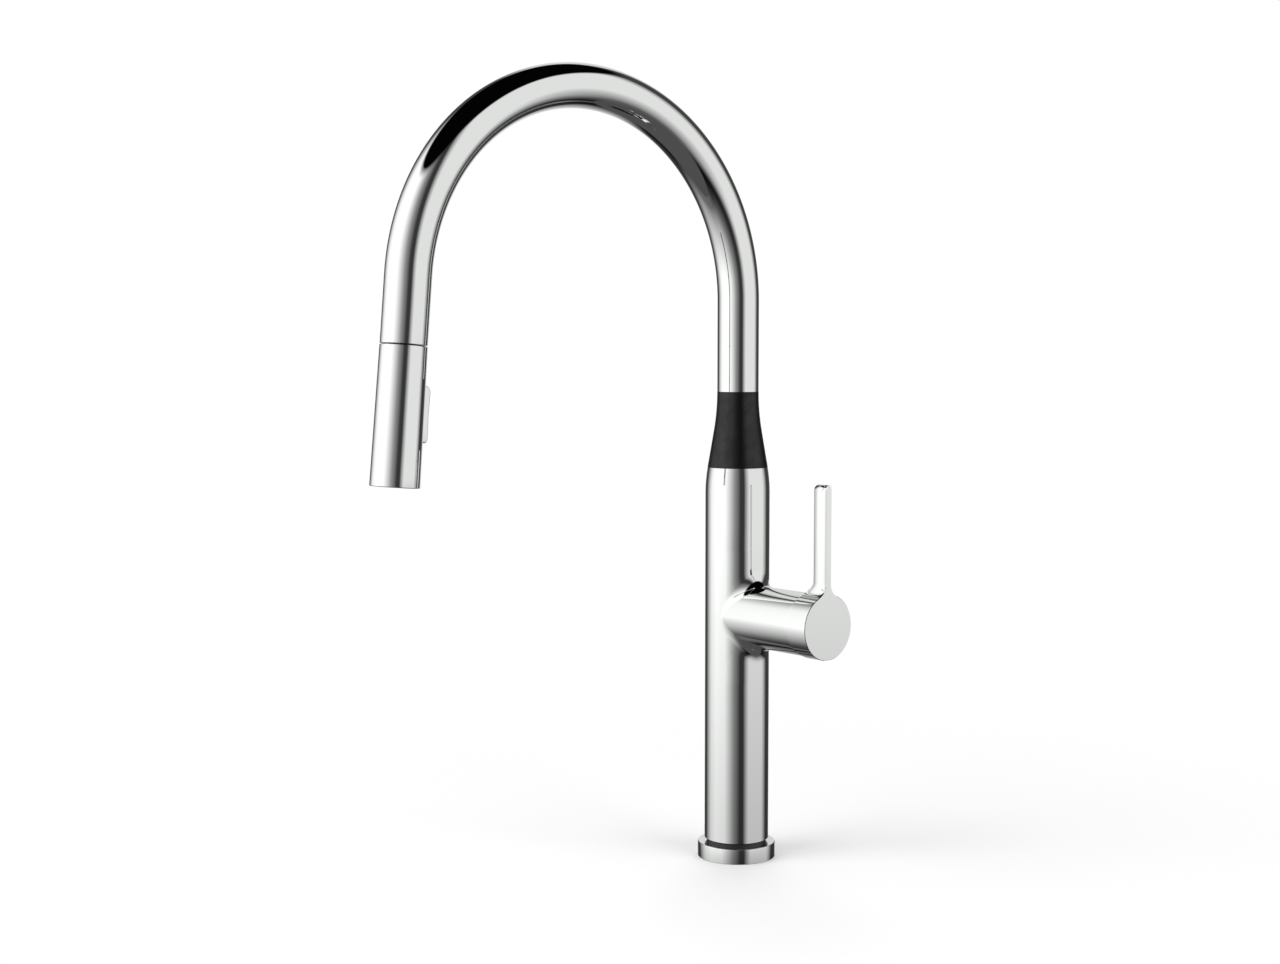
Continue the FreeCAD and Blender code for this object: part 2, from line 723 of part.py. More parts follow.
def make_head_core():
    """Plastic waterway of the head: neck, barrel, pocket of the rocker, and its chambers."""
    shoulder = seam_gap / 2 + head_top_wall + fitted_gap
    neck = cylinder(core_neck_radius(), -shoulder - 1, core_neck_height)
    neck = neck.cut(ring(core_neck_radius() - magnet_width, core_neck_radius() + 1,
                         magnet_bottom, magnet_bottom + magnet_height))
    barrel = cylinder(core_radius() - fitted_gap, -core_end, -shoulder)
    core = neck.fuse(barrel)
    socket_floor = -ball_drop - ball_radius - free_gap
    core = core.cut(cylinder(retainer_radius + fitted_gap, socket_floor, core_neck_height + 1))
    core = core.cut(cylinder(water_way_radius, -core_end - 1, 0))
    core = core.cut(cylinder(aerator_radius + fitted_gap, -core_end - 1, -core_end + aerator_seat()))
    channel = (nozzle_rows[0][1] + nozzle_rows[1][1]) / 2
    core = core.cut(ring(channel - 2, channel + 1.5, -core_end - 1, -core_end + 2.5))
    core = core.cut(rocker_room())
    core = core.cut(cylinder(rocker_lug_radius + free_gap, -rocker_width / 2 - free_gap,
                             rocker_width / 2 + free_gap, X, rocker_axis()))
    core = core.cut(cylinder(rocker_pin_radius, -rocker_pin_half(), rocker_pin_half(), X, rocker_axis()))
    seal_low = -core_end + 6
    core = core.cut(ring(core_radius() - 1.4, core_radius() + 1, seal_low, seal_low + 1.4))
    return at_dock(core.removeSplitter())


def make_core_seal():
    seal_low = -core_end + 6
    return at_dock(ring(core_radius() - 1.4, core_radius() - 0.02, seal_low, seal_low + 1.4))


def make_head_magnet_ring():
    """Steel band on the neck that the dock's magnet pulls."""
    return at_dock(ring(core_neck_radius() - magnet_width, core_neck_radius(),
                        magnet_bottom, magnet_bottom + magnet_height))


def make_ball_retainer():
    """Threaded bush that keeps the ball in its socket."""
    low = -ball_drop + math.sqrt(ball_radius ** 2 - (fitting_radius + 1) ** 2) + running_gap
    bush = ring(fitting_radius + running_gap, retainer_radius, low, core_neck_height - 1)
    return at_dock(bush.cut(Part.makeSphere(ball_radius + running_gap, V(0, 0, -ball_drop))))


def make_check_valve():
    top = -ball_drop - ball_radius - free_gap - 1
    body = cylinder(water_way_radius - fitted_gap, top - valve_length, top)
    body = body.cut(cylinder(1.6, top - valve_length - 1, top + 1))
    return at_dock(body)


def make_diverter_spool():
    """Waisted spool that the rocker shifts between stream and spray."""
    top = -rocker_centre - 4
    radius = water_way_radius - running_gap
    spool = cylinder(radius, top - spool_length, top)
    for share in (0.25, 0.6):
        low = top - spool_length * share - 3
        spool = spool.cut(ring(radius - 1.4, radius + 1, low, low + 3))
    return at_dock(spool)


def nozzle_spots():
    return [spot for count, radius in nozzle_rows for spot in on_circle(count, radius)]


def make_nozzle_sheet():
    """Silicone sheet whose nozzles stand through the face plate."""
    top = -core_end
    low = top - nozzle_sheet
    sheet = ring(aerator_radius + fitted_gap, face_radius() - fitted_gap, low, top)
    for spot in nozzle_spots():
        nozzle = cylinder(nozzle_radius, -face_bottom - nozzle_reach, low, Z, spot)
        sheet = sheet.fuse(nozzle)
    for spot in nozzle_spots():
        sheet = sheet.cut(cylinder(nozzle_radius / 2, -face_bottom - 2, top + 1, Z, spot))
    return at_dock(sheet)


def make_spray_face():
    plate = ring(aerator_radius + fitted_gap, face_radius() - fitted_gap,
                 -face_bottom, -core_end - nozzle_sheet)
    for spot in nozzle_spots():
        plate = plate.cut(cylinder(nozzle_radius + fitted_gap, -face_bottom - 1, -core_end, Z, spot))
    return at_dock(plate)


def aerator_seat():
    return aerator_height - (face_bottom - core_end)


def make_aerator():
    """Insert that mixes air into the stream, with a grid of small holes."""
    top = -face_bottom + aerator_height
    body = cylinder(aerator_radius, -face_bottom, top)
    spots = [ORIGIN] + on_circle(6, aerator_radius * 0.36) + on_circle(12, aerator_radius * 0.72)
    for spot in spots:
        body = body.cut(cylinder(0.55, -face_bottom - 1, top + 1, Z, spot))
    return at_dock(body)


# ---- rocker button -----------------------------------------------------------------------------
def rocker_axis():
    return V(0, head_radius(rocker_centre) - rocker_pin_depth, -rocker_centre)


def rocker_pin_half():
    """Half the pin's length: its ends stay inside the round core."""
    reach = rocker_axis().y + rocker_pin_radius
    return math.sqrt(core_radius() ** 2 - reach ** 2) - 0.2


def make_rocker_pin():
    return at_dock(cylinder(rocker_pin_radius, -rocker_pin_half(), rocker_pin_half(), X, rocker_axis()))


def make_rocker_button():
    """Grey rocker with a shallow dip, rounded ends and a lug round its pin."""
    surface = head_radius(rocker_centre)
    inner = surface - rocker_depth
    outer = surface + rocker_proud
    high = -rocker_centre + rocker_length / 2
    low = -rocker_centre - rocker_length / 2
    upper = rocker_top_round
    under = rocker_end_round
    bend = 1 - math.sqrt(0.5)
    edges = [line(V(0, inner, low), V(0, outer - under, low)),
             arc_through(V(0, outer - under, low), V(0, outer - under * bend, low + under * bend),
                         V(0, outer, low + under)),
             line(V(0, outer, low + under), V(0, outer - rocker_dip, -rocker_centre)),
             line(V(0, outer - rocker_dip, -rocker_centre), V(0, outer, high - upper)),
             arc_through(V(0, outer, high - upper), V(0, outer - upper * bend, high - upper * bend),
                         V(0, outer - upper, high)),
             line(V(0, outer - upper, high), V(0, inner, high)),
             line(V(0, inner, high), V(0, inner, low))]
    button = Part.Face(Part.Wire(edges)).extrude(X * rocker_width)
    button.translate(X * (-rocker_width / 2))
    ends = [edge for edge in button.Edges
            if edge.BoundBox.XLength < 0.01 and edge.BoundBox.YMin > inner + 0.1]
    button = button.makeFillet(rocker_side_round, ends)
    half = rocker_width / 2
    lug = cylinder(rocker_lug_radius, -half, half, X, rocker_axis())
    web = block(V(-half, rocker_axis().y, -rocker_centre - rocker_lug_radius),
                V(half, inner + 1, -rocker_centre + rocker_lug_radius))
    button = button.fuse(lug).fuse(web)
    bore = cylinder(rocker_pin_radius + running_gap, -half - 1, half + 1, X, rocker_axis())
    return at_dock(button.cut(bore).removeSplitter())


pieces = {
    "base_ring": make_base_ring(),
    "deck_gasket": make_deck_gasket(),
    "mounting_shank": make_mounting_shank(),
    "swivel_glide_ring": make_swivel_glide_ring(),
    "swivel_band_lower": make_swivel_band(band_heights()[0]),
    "swivel_band_upper": make_swivel_band(band_heights()[1]),
    "swivel_nut": make_swivel_nut(),
    "body_shell": make_body_shell(),
    "spout_tube": make_spout_tube(),
    "inlet_manifold": make_inlet_manifold(),
    "feed_tube_hot": make_feed_tube(1, handle_height + hot_port_drop),
    "feed_tube_cold": make_feed_tube(-1, handle_height + cold_port_rise),
    "outlet_tube": make_outlet_tube(),
    "cartridge_housing": make_cartridge_housing(),
    "ceramic_disc_fixed": make_ceramic_disc_fixed(),
    "ceramic_disc_moving": make_ceramic_disc_moving(),
    "cartridge_nut": make_cartridge_nut(),
    "cartridge_spindle": make_cartridge_spindle(),
    "tilt_pin": make_tilt_pin(),
    "lever_handle": make_lever_handle(),
    "handle_adapter": make_handle_adapter(),
    "tilt_stem": make_tilt_stem(),
    "handle_set_screw": make_handle_set_screw(),
    "set_screw_plug": make_set_screw_plug(),
    "hose_upper": make_hose_upper(),
    "hose_guide": make_hose_guide(),
    "dock_collar": make_dock_collar(),
    "dock_magnet": make_dock_magnet(),
    "hose_lower": make_hose_lower(),
    "hose_ferrule": make_hose_ferrule(),
    "hose_fitting": make_hose_fitting(),
    "head_shell": make_head_shell(),
    "head_core": make_head_core(),
    "head_magnet_ring": make_head_magnet_ring(),
    "ball_retainer": make_ball_retainer(),
    "check_valve": make_check_valve(),
    "diverter_spool": make_diverter_spool(),
    "core_seal": make_core_seal(),
    "nozzle_sheet": make_nozzle_sheet(),
    "spray_face": make_spray_face(),
    "aerator": make_aerator(),
    "rocker_pin": make_rocker_pin(),
    "rocker_button": make_rocker_button(),
}

os.makedirs("parts", exist_ok=True)
for name, solid in pieces.items():
    solid.exportStep(f"parts/{name}.step")
    print(f"{name}: solids {len(solid.Solids)}, volume {solid.Volume:.1f}, valid {solid.isValid()}")
print("seam centre", seam_centre, "down the leg", down_leg, "tube bottom", tube_bottom)
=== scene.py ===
import json
import math
from functools import partial

import bmesh
import bpy
from mathutils import Matrix, Vector


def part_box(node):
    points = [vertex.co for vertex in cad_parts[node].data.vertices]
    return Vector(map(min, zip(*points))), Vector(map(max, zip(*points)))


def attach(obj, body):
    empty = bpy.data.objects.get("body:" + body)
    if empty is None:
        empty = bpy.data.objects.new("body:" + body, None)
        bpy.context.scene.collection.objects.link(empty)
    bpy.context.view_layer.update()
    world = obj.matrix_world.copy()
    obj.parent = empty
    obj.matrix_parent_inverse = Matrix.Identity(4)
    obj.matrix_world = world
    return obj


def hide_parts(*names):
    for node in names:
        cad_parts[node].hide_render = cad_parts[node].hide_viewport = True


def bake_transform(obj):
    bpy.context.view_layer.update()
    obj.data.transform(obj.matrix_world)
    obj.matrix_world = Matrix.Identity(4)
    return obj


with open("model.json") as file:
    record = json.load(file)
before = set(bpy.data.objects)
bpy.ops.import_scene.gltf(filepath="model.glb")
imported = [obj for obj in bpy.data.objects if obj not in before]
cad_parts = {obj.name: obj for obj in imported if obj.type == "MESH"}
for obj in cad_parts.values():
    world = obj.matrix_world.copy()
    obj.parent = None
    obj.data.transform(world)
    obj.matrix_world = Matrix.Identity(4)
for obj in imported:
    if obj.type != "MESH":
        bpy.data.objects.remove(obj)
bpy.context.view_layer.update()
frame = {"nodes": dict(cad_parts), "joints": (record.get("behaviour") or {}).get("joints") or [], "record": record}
joints = {joint["name"]: joint for joint in frame["joints"]}

# ---- Camera -------------------------------------------------------------------------------
# It stands in front of the faucet on the lever's side, a little above the middle of the body,
# and looks slightly down.


def put_in_scene(name, data):
    """An object for some data, linked to the scene."""
    placed = bpy.data.objects.new(name, data)
    bpy.context.scene.collection.objects.link(placed)
    return placed


camera = put_in_scene("camera", bpy.data.cameras.new("camera"))
camera.data.lens = 51.43
camera.data.sensor_width = 36.0
camera.data.clip_start = 0.01
camera.location = (0.82754, -0.77280, 0.31534)
camera_aim = Vector((-0.764346, 0.640871, -0.071131))
camera.rotation_euler = camera_aim.to_track_quat("-Z", "Y").to_euler()
bpy.context.scene.camera = camera

# ---- Base ring ----------------------------------------------------------------------------
# Turned brass ring that covers the hole in the worktop. Its rim is eased by hand on the lathe,
# then the ring is buffed and chrome plated with the rest of the visible metal.
RIM_STEPS = 5
LATHE_STEPS = 192


def eased(corners):
    """Outline points (radius, height) from (radius, height, easing) corners, with round corners."""
    points = []
    for i, (x, y, easing) in enumerate(corners):
        here = Vector((x, y))
        if easing == 0:
            points.append((x, y))
            continue
        before = (Vector(corners[i - 1][:2]) - here).normalized()
        after = (Vector(corners[(i + 1) % len(corners)][:2]) - here).normalized()
        half = before.angle(after) / 2
        reach = easing / math.tan(half)
        centre = here + (before + after).normalized() * (easing / math.sin(half))
        start = here + before * reach - centre
        end = here + after * reach - centre
        for step in range(RIM_STEPS + 1):
            share = step / RIM_STEPS
            spoke = start.lerp(end, share).normalized() * easing
            points.append(tuple(centre + spoke))
    return points


def shade(mesh):
    """Smooth shading, with hard edges where faces meet at a clear angle."""
    mesh.polygons.foreach_set("use_smooth", [True] * len(mesh.polygons))
    mesh.set_sharp_from_angle(angle=math.radians(32))


def smooth_mesh(name, points, faces):
    """A mesh object with smooth shading."""
    mesh = bpy.data.meshes.new(name)
    mesh.from_pydata(points, [], faces)
    mesh.validate()
    shade(mesh)
    return put_in_scene(name, mesh)


def turned_points(outline, steps):
    """Points of a (radius, height) outline turned about Z, one closed row after another."""
    turns = [2 * math.pi * step / steps for step in range(steps)]
    return [(radius * math.cos(turn), radius * math.sin(turn), height)
            for radius, height in outline for turn in turns]


def band(lower, upper):
    """Faces between two closed rows of point numbers."""
    count = len(lower)
    return [(lower[i], lower[(i + 1) % count], upper[(i + 1) % count], upper[i])
            for i in range(count)]


def row_of(row, steps):
    """The point numbers of one row of turned points."""
    return range(row * steps, (row + 1) * steps)


def lathe(name, outline, place=Matrix.Identity(4), steps=LATHE_STEPS):
    """Turns a closed outline, listed up its outer side and down its inner side, about Z."""
    points = [place @ Vector(point) for point in turned_points(outline, steps)]
    faces = []
    for row in range(len(outline)):
        faces += band(row_of(row, steps), row_of((row + 1) % len(outline), steps))
    return smooth_mesh(name, points, faces)


def new_tree(name, kind, inputs, outputs):
    """A node tree with (name, kind, value) sockets; gives it, its inputs and its outputs."""
    tree = bpy.data.node_groups.new(name, kind)
    for direction, sockets in (("INPUT", inputs), ("OUTPUT", outputs)):
        for label, socket_kind, *value in sockets:
            made = tree.interface.new_socket(label, in_out=direction,
                                             socket_type="NodeSocket" + socket_kind)
            if value:
                made.default_value = value[0]
    given = tree.nodes.new("NodeGroupInput")
    out = tree.nodes.new("NodeGroupOutput")
    return tree, given.outputs, out.inputs


def feed(tree, target, source):
    """Links a socket to another node's socket, or sets it to a plain value."""
    if isinstance(source, bpy.types.NodeSocket):
        tree.links.new(source, target)
    else:
        target.default_value = source


def add_node(tree, kind, inputs=None, **settings):
    """Adds a node, applies its settings and feeds its inputs."""
    node = tree.nodes.new(kind)
    for name, value in settings.items():
        setattr(node, name, value)
    for name, value in (inputs or {}).items():
        feed(tree, node.inputs[name], value)
    return node


def hand_polish_group():
    """Faint smears left by wiping, and the soft waviness of buffed plate."""
    group, given, out = new_tree(
        "hand polish", "ShaderNodeTree",
        [("Smear Scale", "Float", 22.0), ("Clear Roughness", "Float", 0.02),
         ("Smeared Roughness", "Float", 0.06), ("Wave Height", "Float", 0.00002)],
        [("Roughness", "Float"), ("Normal", "Vector")])
    place = add_node(group, "ShaderNodeTexCoord").outputs["Object"]
    smear = add_node(group, "ShaderNodeTexNoise", {
        "Vector": place, "Scale": given["Smear Scale"], "Detail": 5.0, "Distortion": 1.2})
    spread = add_node(group, "ShaderNodeMapRange", {
        "Value": smear.outputs["Fac"], "From Min": 0.48, "From Max": 0.74,
        "To Min": given["Clear Roughness"], "To Max": given["Smeared Roughness"]})
    feed(group, out["Roughness"], spread.outputs["Result"])
    wave = add_node(group, "ShaderNodeTexNoise", {"Vector": place, "Scale": 30.0, "Detail": 1.0})
    bump = add_node(group, "ShaderNodeBump", {
        "Strength": 0.12, "Distance": given["Wave Height"], "Height": wave.outputs["Fac"]})
    feed(group, out["Normal"], bump.outputs["Normal"])
    return group


def new_material(name, colour, metallic=0.0, roughness=0.4):
    """A Principled material whose plain values are set on the shader itself."""
    material = bpy.data.materials.new(name)
    material.use_nodes = True
    shader = material.node_tree.nodes["Principled BSDF"]
    shader.inputs["Base Color"].default_value = (*colour, 1)
    shader.inputs["Metallic"].default_value = metallic
    shader.inputs["Roughness"].default_value = roughness
    return material, shader


def add_effect(material, shader, group, **values):
    """Places a shared effect in a material, sets its inputs and links all it puts out."""
    node = add_node(material.node_tree, "ShaderNodeGroup", node_tree=group)
    for name, value in values.items():
        node.inputs[name.replace("_", " ")].default_value = value
    for output in node.outputs:
        target = "Base Color" if output.name == "Color" else output.name
        material.node_tree.links.new(output, shader.inputs[target])


chrome, chrome_shader = new_material("chrome plate", (0.90, 0.905, 0.90), 1.0, 0.03)
add_effect(chrome, chrome_shader, hand_polish_group(), Smear_Scale=20.0, Clear_Roughness=0.012,
           Smeared_Roughness=0.04, Wave_Height=0.00001)

ring_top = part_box("base_ring")[1]
ring_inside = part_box("swivel_glide_ring")[1].x - 0.0012
ring_outline = eased([(ring_top.x, 0.0, 0.0002), (ring_top.x, ring_top.z, 0.0005),
                      (ring_inside, ring_top.z, 0.0002), (ring_inside, 0.0, 0.0002)])
base_ring = lathe("base_ring_plate", ring_outline)
base_ring.data.materials.append(chrome)
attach(base_ring, "base")
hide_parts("base_ring")

# ---- Shank --------------------------------------------------------------------------------
# Brass tube below the worktop with a fine rolled thread, and the plain post that the body
# turns on. The thread is a triangular ridge wound round the tube.
THREAD_PITCH = 0.0015
THREAD_DEPTH = 0.0008


def calc(tree, operation, *values):
    """The result of a sum on numbers or sockets."""
    return add_node(tree, "ShaderNodeMath", dict(enumerate(values)), operation=operation).outputs[0]


def end_tree(tree, made, material, out):
    """Ends a tree: makes its copies real and gives them their material."""
    whole = add_node(tree, "GeometryNodeRealizeInstances", {"Geometry": made})
    coated = add_node(tree, "GeometryNodeSetMaterial", {
        "Geometry": whole.outputs["Geometry"], "Material": material})
    feed(tree, out["Geometry"], coated.outputs["Geometry"])
    return tree


def thread_tree():
    """Winds a ridge of the given pitch round the Z axis."""
    tree, given, out = new_tree(
        "rolled thread", "GeometryNodeTree",
        [("Radius", "Float", 0.016), ("Length", "Float", 0.04), ("Pitch", "Float", 0.0015),
         ("Depth", "Float", 0.0008), ("Finish", "Material")], [("Geometry", "Geometry")])
    spiral = add_node(tree, "GeometryNodeCurveSpiral", {
        "Resolution": 48, "Rotations": calc(tree, "DIVIDE", given["Length"], given["Pitch"]),
        "Start Radius": given["Radius"], "End Radius": given["Radius"], "Height": given["Length"]})
    ridge = add_node(tree, "GeometryNodeCurvePrimitiveCircle", {
        "Resolution": 4, "Radius": given["Depth"]})
    wound = add_node(tree, "GeometryNodeCurveToMesh", {
        "Curve": spiral.outputs["Curve"], "Profile Curve": ridge.outputs["Curve"],
        "Fill Caps": True})
    return end_tree(tree, wound.outputs["Mesh"], given["Finish"], out)


def baked(piece):
    """Replaces a piece's modifiers with the plain mesh that they make."""
    bpy.context.view_layer.update()
    seen = piece.evaluated_get(bpy.context.evaluated_depsgraph_get())
    plain = bpy.data.meshes.new_from_object(seen)
    piece.modifiers.clear()
    piece.data = plain
    return piece


def grown(name, tree, base=None, **values):
    """Runs a Geometry Nodes tree with named inputs and bakes what it makes into a plain mesh."""
    piece = put_in_scene(name, base if base else bpy.data.meshes.new(name))
    modifier = piece.modifiers.new("tree", "NODES")
    modifier.node_group = tree
    names = {item.name: item.identifier for item in tree.interface.items_tree
             if item.item_type == "SOCKET" and item.in_out == "INPUT"}
    for label, value in values.items():
        modifier[names[label.replace("_", " ")]] = value
    return baked(piece)


def joined(pieces):
    """Joins mesh objects into the first one."""
    with bpy.context.temp_override(active_object=pieces[0], selected_editable_objects=pieces):
        bpy.ops.object.join()
    return pieces[0]


def lathe_marks_group():
    """Fine turning marks round the Z axis, with a little tarnish."""
    group, given, out = new_tree(
        "lathe marks", "ShaderNodeTree",
        [("Marks", "Float", 900.0), ("Metal", "Color", (0.7, 0.6, 0.3, 1)),
         ("Tarnish", "Color", (0.5, 0.4, 0.2, 1))],
        [("Color", "Color"), ("Roughness", "Float"), ("Normal", "Vector")])
    place = add_node(group, "ShaderNodeTexCoord").outputs["Object"]
    cloud = add_node(group, "ShaderNodeTexNoise", {"Vector": place, "Scale": 160.0, "Detail": 4.0})
    mix = add_node(group, "ShaderNodeMix", {
        "Factor": cloud.outputs["Fac"], "A": given["Metal"], "B": given["Tarnish"]},
        data_type="RGBA")
    feed(group, out["Color"], mix.outputs["Result"])
    rough = add_node(group, "ShaderNodeMapRange", {
        "Value": cloud.outputs["Fac"], "To Min": 0.22, "To Max": 0.42})
    feed(group, out["Roughness"], rough.outputs["Result"])
    marks = add_node(group, "ShaderNodeTexWave", {
        "Vector": place, "Scale": given["Marks"], "Distortion": 0.4}, bands_direction="Z")
    bump = add_node(group, "ShaderNodeBump", {
        "Strength": 0.15, "Distance": 0.0001, "Height": marks.outputs["Fac"]})
    feed(group, out["Normal"], bump.outputs["Normal"])
    return group


def turned_metal(name, metal, tarnish):
    """A machined metal with turning marks."""
    material, shader = new_material(name, metal, 1.0, 0.3)
    add_effect(material, shader, lathe_marks, Marks=900.0, Metal=(*metal, 1), Tarnish=(*tarnish, 1))
    return material


lathe_marks = lathe_marks_group()
brass = turned_metal("machined brass", (0.74, 0.58, 0.30), (0.58, 0.42, 0.20))
shank_low, shank_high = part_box("mounting_shank")
shank_radius = frame["record"]["mounts"][0]["dims"]["r_mm"] / 1000
shank_wall = 0.003
post_step = 0.0005
post_top = 0.042
collar_step = 0.001
flange_low = 0.004
shank_chamfer = 0.0008
edge_easing = 0.0003
thread_start = 0.002
thread_short = 0.007
shank_bore = shank_radius - shank_wall
post_radius = shank_radius - post_step
shoulder = shank_high.x
thread_root = shank_radius - THREAD_DEPTH
shank_outline = eased([
    (thread_root - shank_chamfer, shank_low.z, 0), (thread_root, shank_low.z + shank_chamfer, 0),
    (thread_root, -0.004, 0), (shank_radius, -0.003, 0), (shank_radius, 0, 0), (post_radius, 0, 0),
    (post_radius, flange_low, 0), (shoulder, flange_low, 0), (shoulder, ring_top.z, edge_easing),
    (post_radius, ring_top.z, 0), (post_radius, post_top, 0.0002),
    (post_radius - collar_step, post_top, 0),
    (post_radius - collar_step, shank_high.z, edge_easing),
    (shank_bore, shank_high.z, edge_easing), (shank_bore, shank_low.z, 0)])
shank = lathe("threaded_shank", shank_outline, steps=96)
shank.data.materials.append(brass)
thread = grown("thread", thread_tree(), Radius=thread_root,
               Length=abs(shank_low.z) - thread_short, Pitch=THREAD_PITCH, Depth=THREAD_DEPTH,
               Finish=brass)
thread.data.transform(Matrix.Translation((0, 0, shank_low.z + thread_start)))
shank = joined([shank, thread])
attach(shank, "base")
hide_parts("mounting_shank")

# ---- Body ---------------------------------------------------------------------------------
# Cast and turned brass column with the valve boss brazed to its side through a hollow round
# fillet. It narrows to the spout in an S-shaped shoulder, and all of it is chrome plated.
SKIN_STEPS = 192
BAND_ROWS = 48
PATCH_ROWS = 8
FILLET_ROWS = 18
TAPER_ROWS = 18

boss_radius = 0.0189
boss_fillet = 0.009
taper_start = 0.228
taper_turn = math.radians(9.6)
taper_lower = 0.096
taper_upper = 0.144
body_wall = 0.0027
body_low, body_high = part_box("body_shell")
body_radius = -body_low.x
boss_end = body_high.x
handle_height = joints["handle_turn"]["pos_m"][2]
tube_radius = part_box("spout_tube")[1].x
tube_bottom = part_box("spout_tube")[0].z
bearing_radius = post_radius + 0.00005
bearing_top = post_top


def taper_outline():
    """(radius, height) points of the shoulder, from the column to the tube."""
    points = []
    for step in range(TAPER_ROWS + 1):
        turn = taper_turn * step / TAPER_ROWS
        points.append((body_radius - taper_lower * (1 - math.cos(turn)),
                       taper_start + taper_lower * math.sin(turn)))
    bottom = tube_z_start - taper_upper * math.sin(taper_turn)
    for step in range(TAPER_ROWS + 1):
        turn = taper_turn * (1 - step / TAPER_ROWS)
        points.append((tube_radius + taper_upper * (1 - math.cos(turn)),
                       bottom + taper_upper * (math.sin(taper_turn) - math.sin(turn))))
    return points


arcs_width = (taper_lower + taper_upper) * (1 - math.cos(taper_turn))
taper_straight = (body_radius - tube_radius - arcs_width) / math.sin(taper_turn)
tube_z_start = (taper_start + (taper_lower + taper_upper) * math.sin(taper_turn)
                + taper_straight * math.cos(taper_turn))
band_low = handle_height - 0.042
band_high = handle_height + 0.042
shoulder_points = taper_outline()
outer = [(body_radius - 0.0005, body_low.z), (body_radius, body_low.z + 0.0005),
         (body_radius, 0.03), (body_radius, 0.07)]
band_first = len(outer)
for row in range(BAND_ROWS + 1):
    outer.append((body_radius, band_low + (band_high - band_low) * row / BAND_ROWS))
outer.append((body_radius, 0.21))
outer += shoulder_points
inner = [(radius - body_wall, height) for radius, height in reversed(shoulder_points[::3])]
inner += [(body_radius - body_wall, handle_height), (body_radius - body_wall, bearing_top),
          (bearing_radius, bearing_top), (bearing_radius, body_low.z)]
column = outer + inner

skin_points = turned_points(column, SKIN_STEPS)
skin_faces = []
quarter = SKIN_STEPS // 4
for row in range(len(column)):
    ring = band(row_of(row, SKIN_STEPS), row_of((row + 1) % len(column), SKIN_STEPS))
    if band_first <= row < band_first + BAND_ROWS:
        ring = ring[quarter:3 * quarter]
    skin_faces += ring

# The loop round the boss: up the +Y side, over the top, down the -Y side and back below.
loop = [(quarter, row) for row in range(BAND_ROWS)]
loop += [(step % SKIN_STEPS, BAND_ROWS) for step in range(quarter, -quarter, -1)]
loop += [(3 * quarter, row) for row in range(BAND_ROWS, 0, -1)]
loop += [(step % SKIN_STEPS, 0) for step in range(-quarter, quarter)]
previous = [(band_first + row) * SKIN_STEPS + step for step, row in loop]


def boss_station(step, row):
    """The boss's angle for a point of the loop, with the loop point's own turn and height."""
    turn = (step if step <= 2 * quarter else step - SKIN_STEPS) * 2 * math.pi / SKIN_STEPS
    height = band_low + (band_high - band_low) * row / BAND_ROWS
    across = turn / (math.pi / 2)
    up = (height - handle_height) / (band_high - handle_height)
    return math.atan2(up, across), turn, height


def boss_rows():
    """Rows of points from the column, over the fillet and along the boss, into its bore."""
    ball = body_radius + boss_fillet
    roll = boss_radius + boss_fillet
    axis_point = Vector((0, 0, handle_height))
    easing = 0.0003
    stations = []
    for step, row in loop:
        angle, turn, height = boss_station(step, row)
        y = roll * math.cos(angle)
        centre = Vector((math.sqrt(ball ** 2 - y ** 2), y, handle_height + roll * math.sin(angle)))
        hole_turn = math.atan2(centre.y, centre.x)
        made = []
        for i in range(1, PATCH_ROWS + 1):
            share = i / PATCH_ROWS
            here = turn + (hole_turn - turn) * share
            made.append((body_radius * math.cos(here), body_radius * math.sin(here),
                         height + (centre.z - height) * share))
        touch = Vector((centre.x, centre.y, 0)) * (body_radius / ball) + Vector((0, 0, centre.z))
        on_column = touch - centre
        on_boss = Vector((centre.x, boss_radius * math.cos(angle),
                          handle_height + boss_radius * math.sin(angle))) - centre
        for i in range(1, FILLET_ROWS + 1):
            spoke = on_column.normalized().slerp(on_boss.normalized(), i / FILLET_ROWS)
            made.append(centre + spoke * boss_fillet)
        spoke = Vector((0, math.cos(angle), math.sin(angle)))
        for share in (0.35, 0.7, 0.9):
            along = Vector((centre.x + (boss_end - centre.x) * share, 0, 0))
            made.append(axis_point + along + spoke * boss_radius)
        for i in range(RIM_STEPS + 1):
            lean = math.pi / 2 * i / RIM_STEPS
            made.append(axis_point + Vector((boss_end - easing * (1 - math.sin(lean)), 0, 0))
                        + spoke * (boss_radius - easing * (1 - math.cos(lean))))
        for x, radius in ((boss_end, nut_bore), (nut_seat_x, nut_bore), (nut_seat_x, valve_bore),
                          (bore_floor, valve_bore)):
            made.append(axis_point + Vector((x, 0, 0)) + spoke * radius)
        stations.append(made)
    return zip(*stations)


turning_fit = 0.00005
bore_floor = body_radius - 0.001
nut_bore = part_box("cartridge_nut")[1].y + turning_fit
nut_seat_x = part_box("cartridge_nut")[0].x
valve_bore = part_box("cartridge_housing")[1].y + turning_fit
for points in boss_rows():
    current = range(len(skin_points), len(skin_points) + len(points))
    skin_points += [tuple(point) for point in points]
    skin_faces += band(previous, current)
    previous = current
centre_point = len(skin_points)
skin_points.append((bore_floor, 0, handle_height))
for i, number in enumerate(previous):
    skin_faces.append((number, previous[(i + 1) % len(previous)], centre_point))
body_skin = smooth_mesh("body_plate", skin_points, skin_faces)
body_skin.data.materials.append(chrome)
# Dull unplated metal coloured near-black: painted shade for the bores, the hub's hollow and the gaps.
recess_shade_metal = turned_metal("bare casting", (0.060, 0.060, 0.060), (0.030, 0.030, 0.030))


def paint_recess_shade(piece, in_recess):
    """Gives the faces whose middle the rule picks a dull near-black metal: unplated metal, darkened as painted
    shade in gaps and hollows.
    """
    piece.data.materials.append(recess_shade_metal)
    for face in piece.data.polygons:
        if in_recess(face.center):
            face.material_index = len(piece.data.materials) - 1
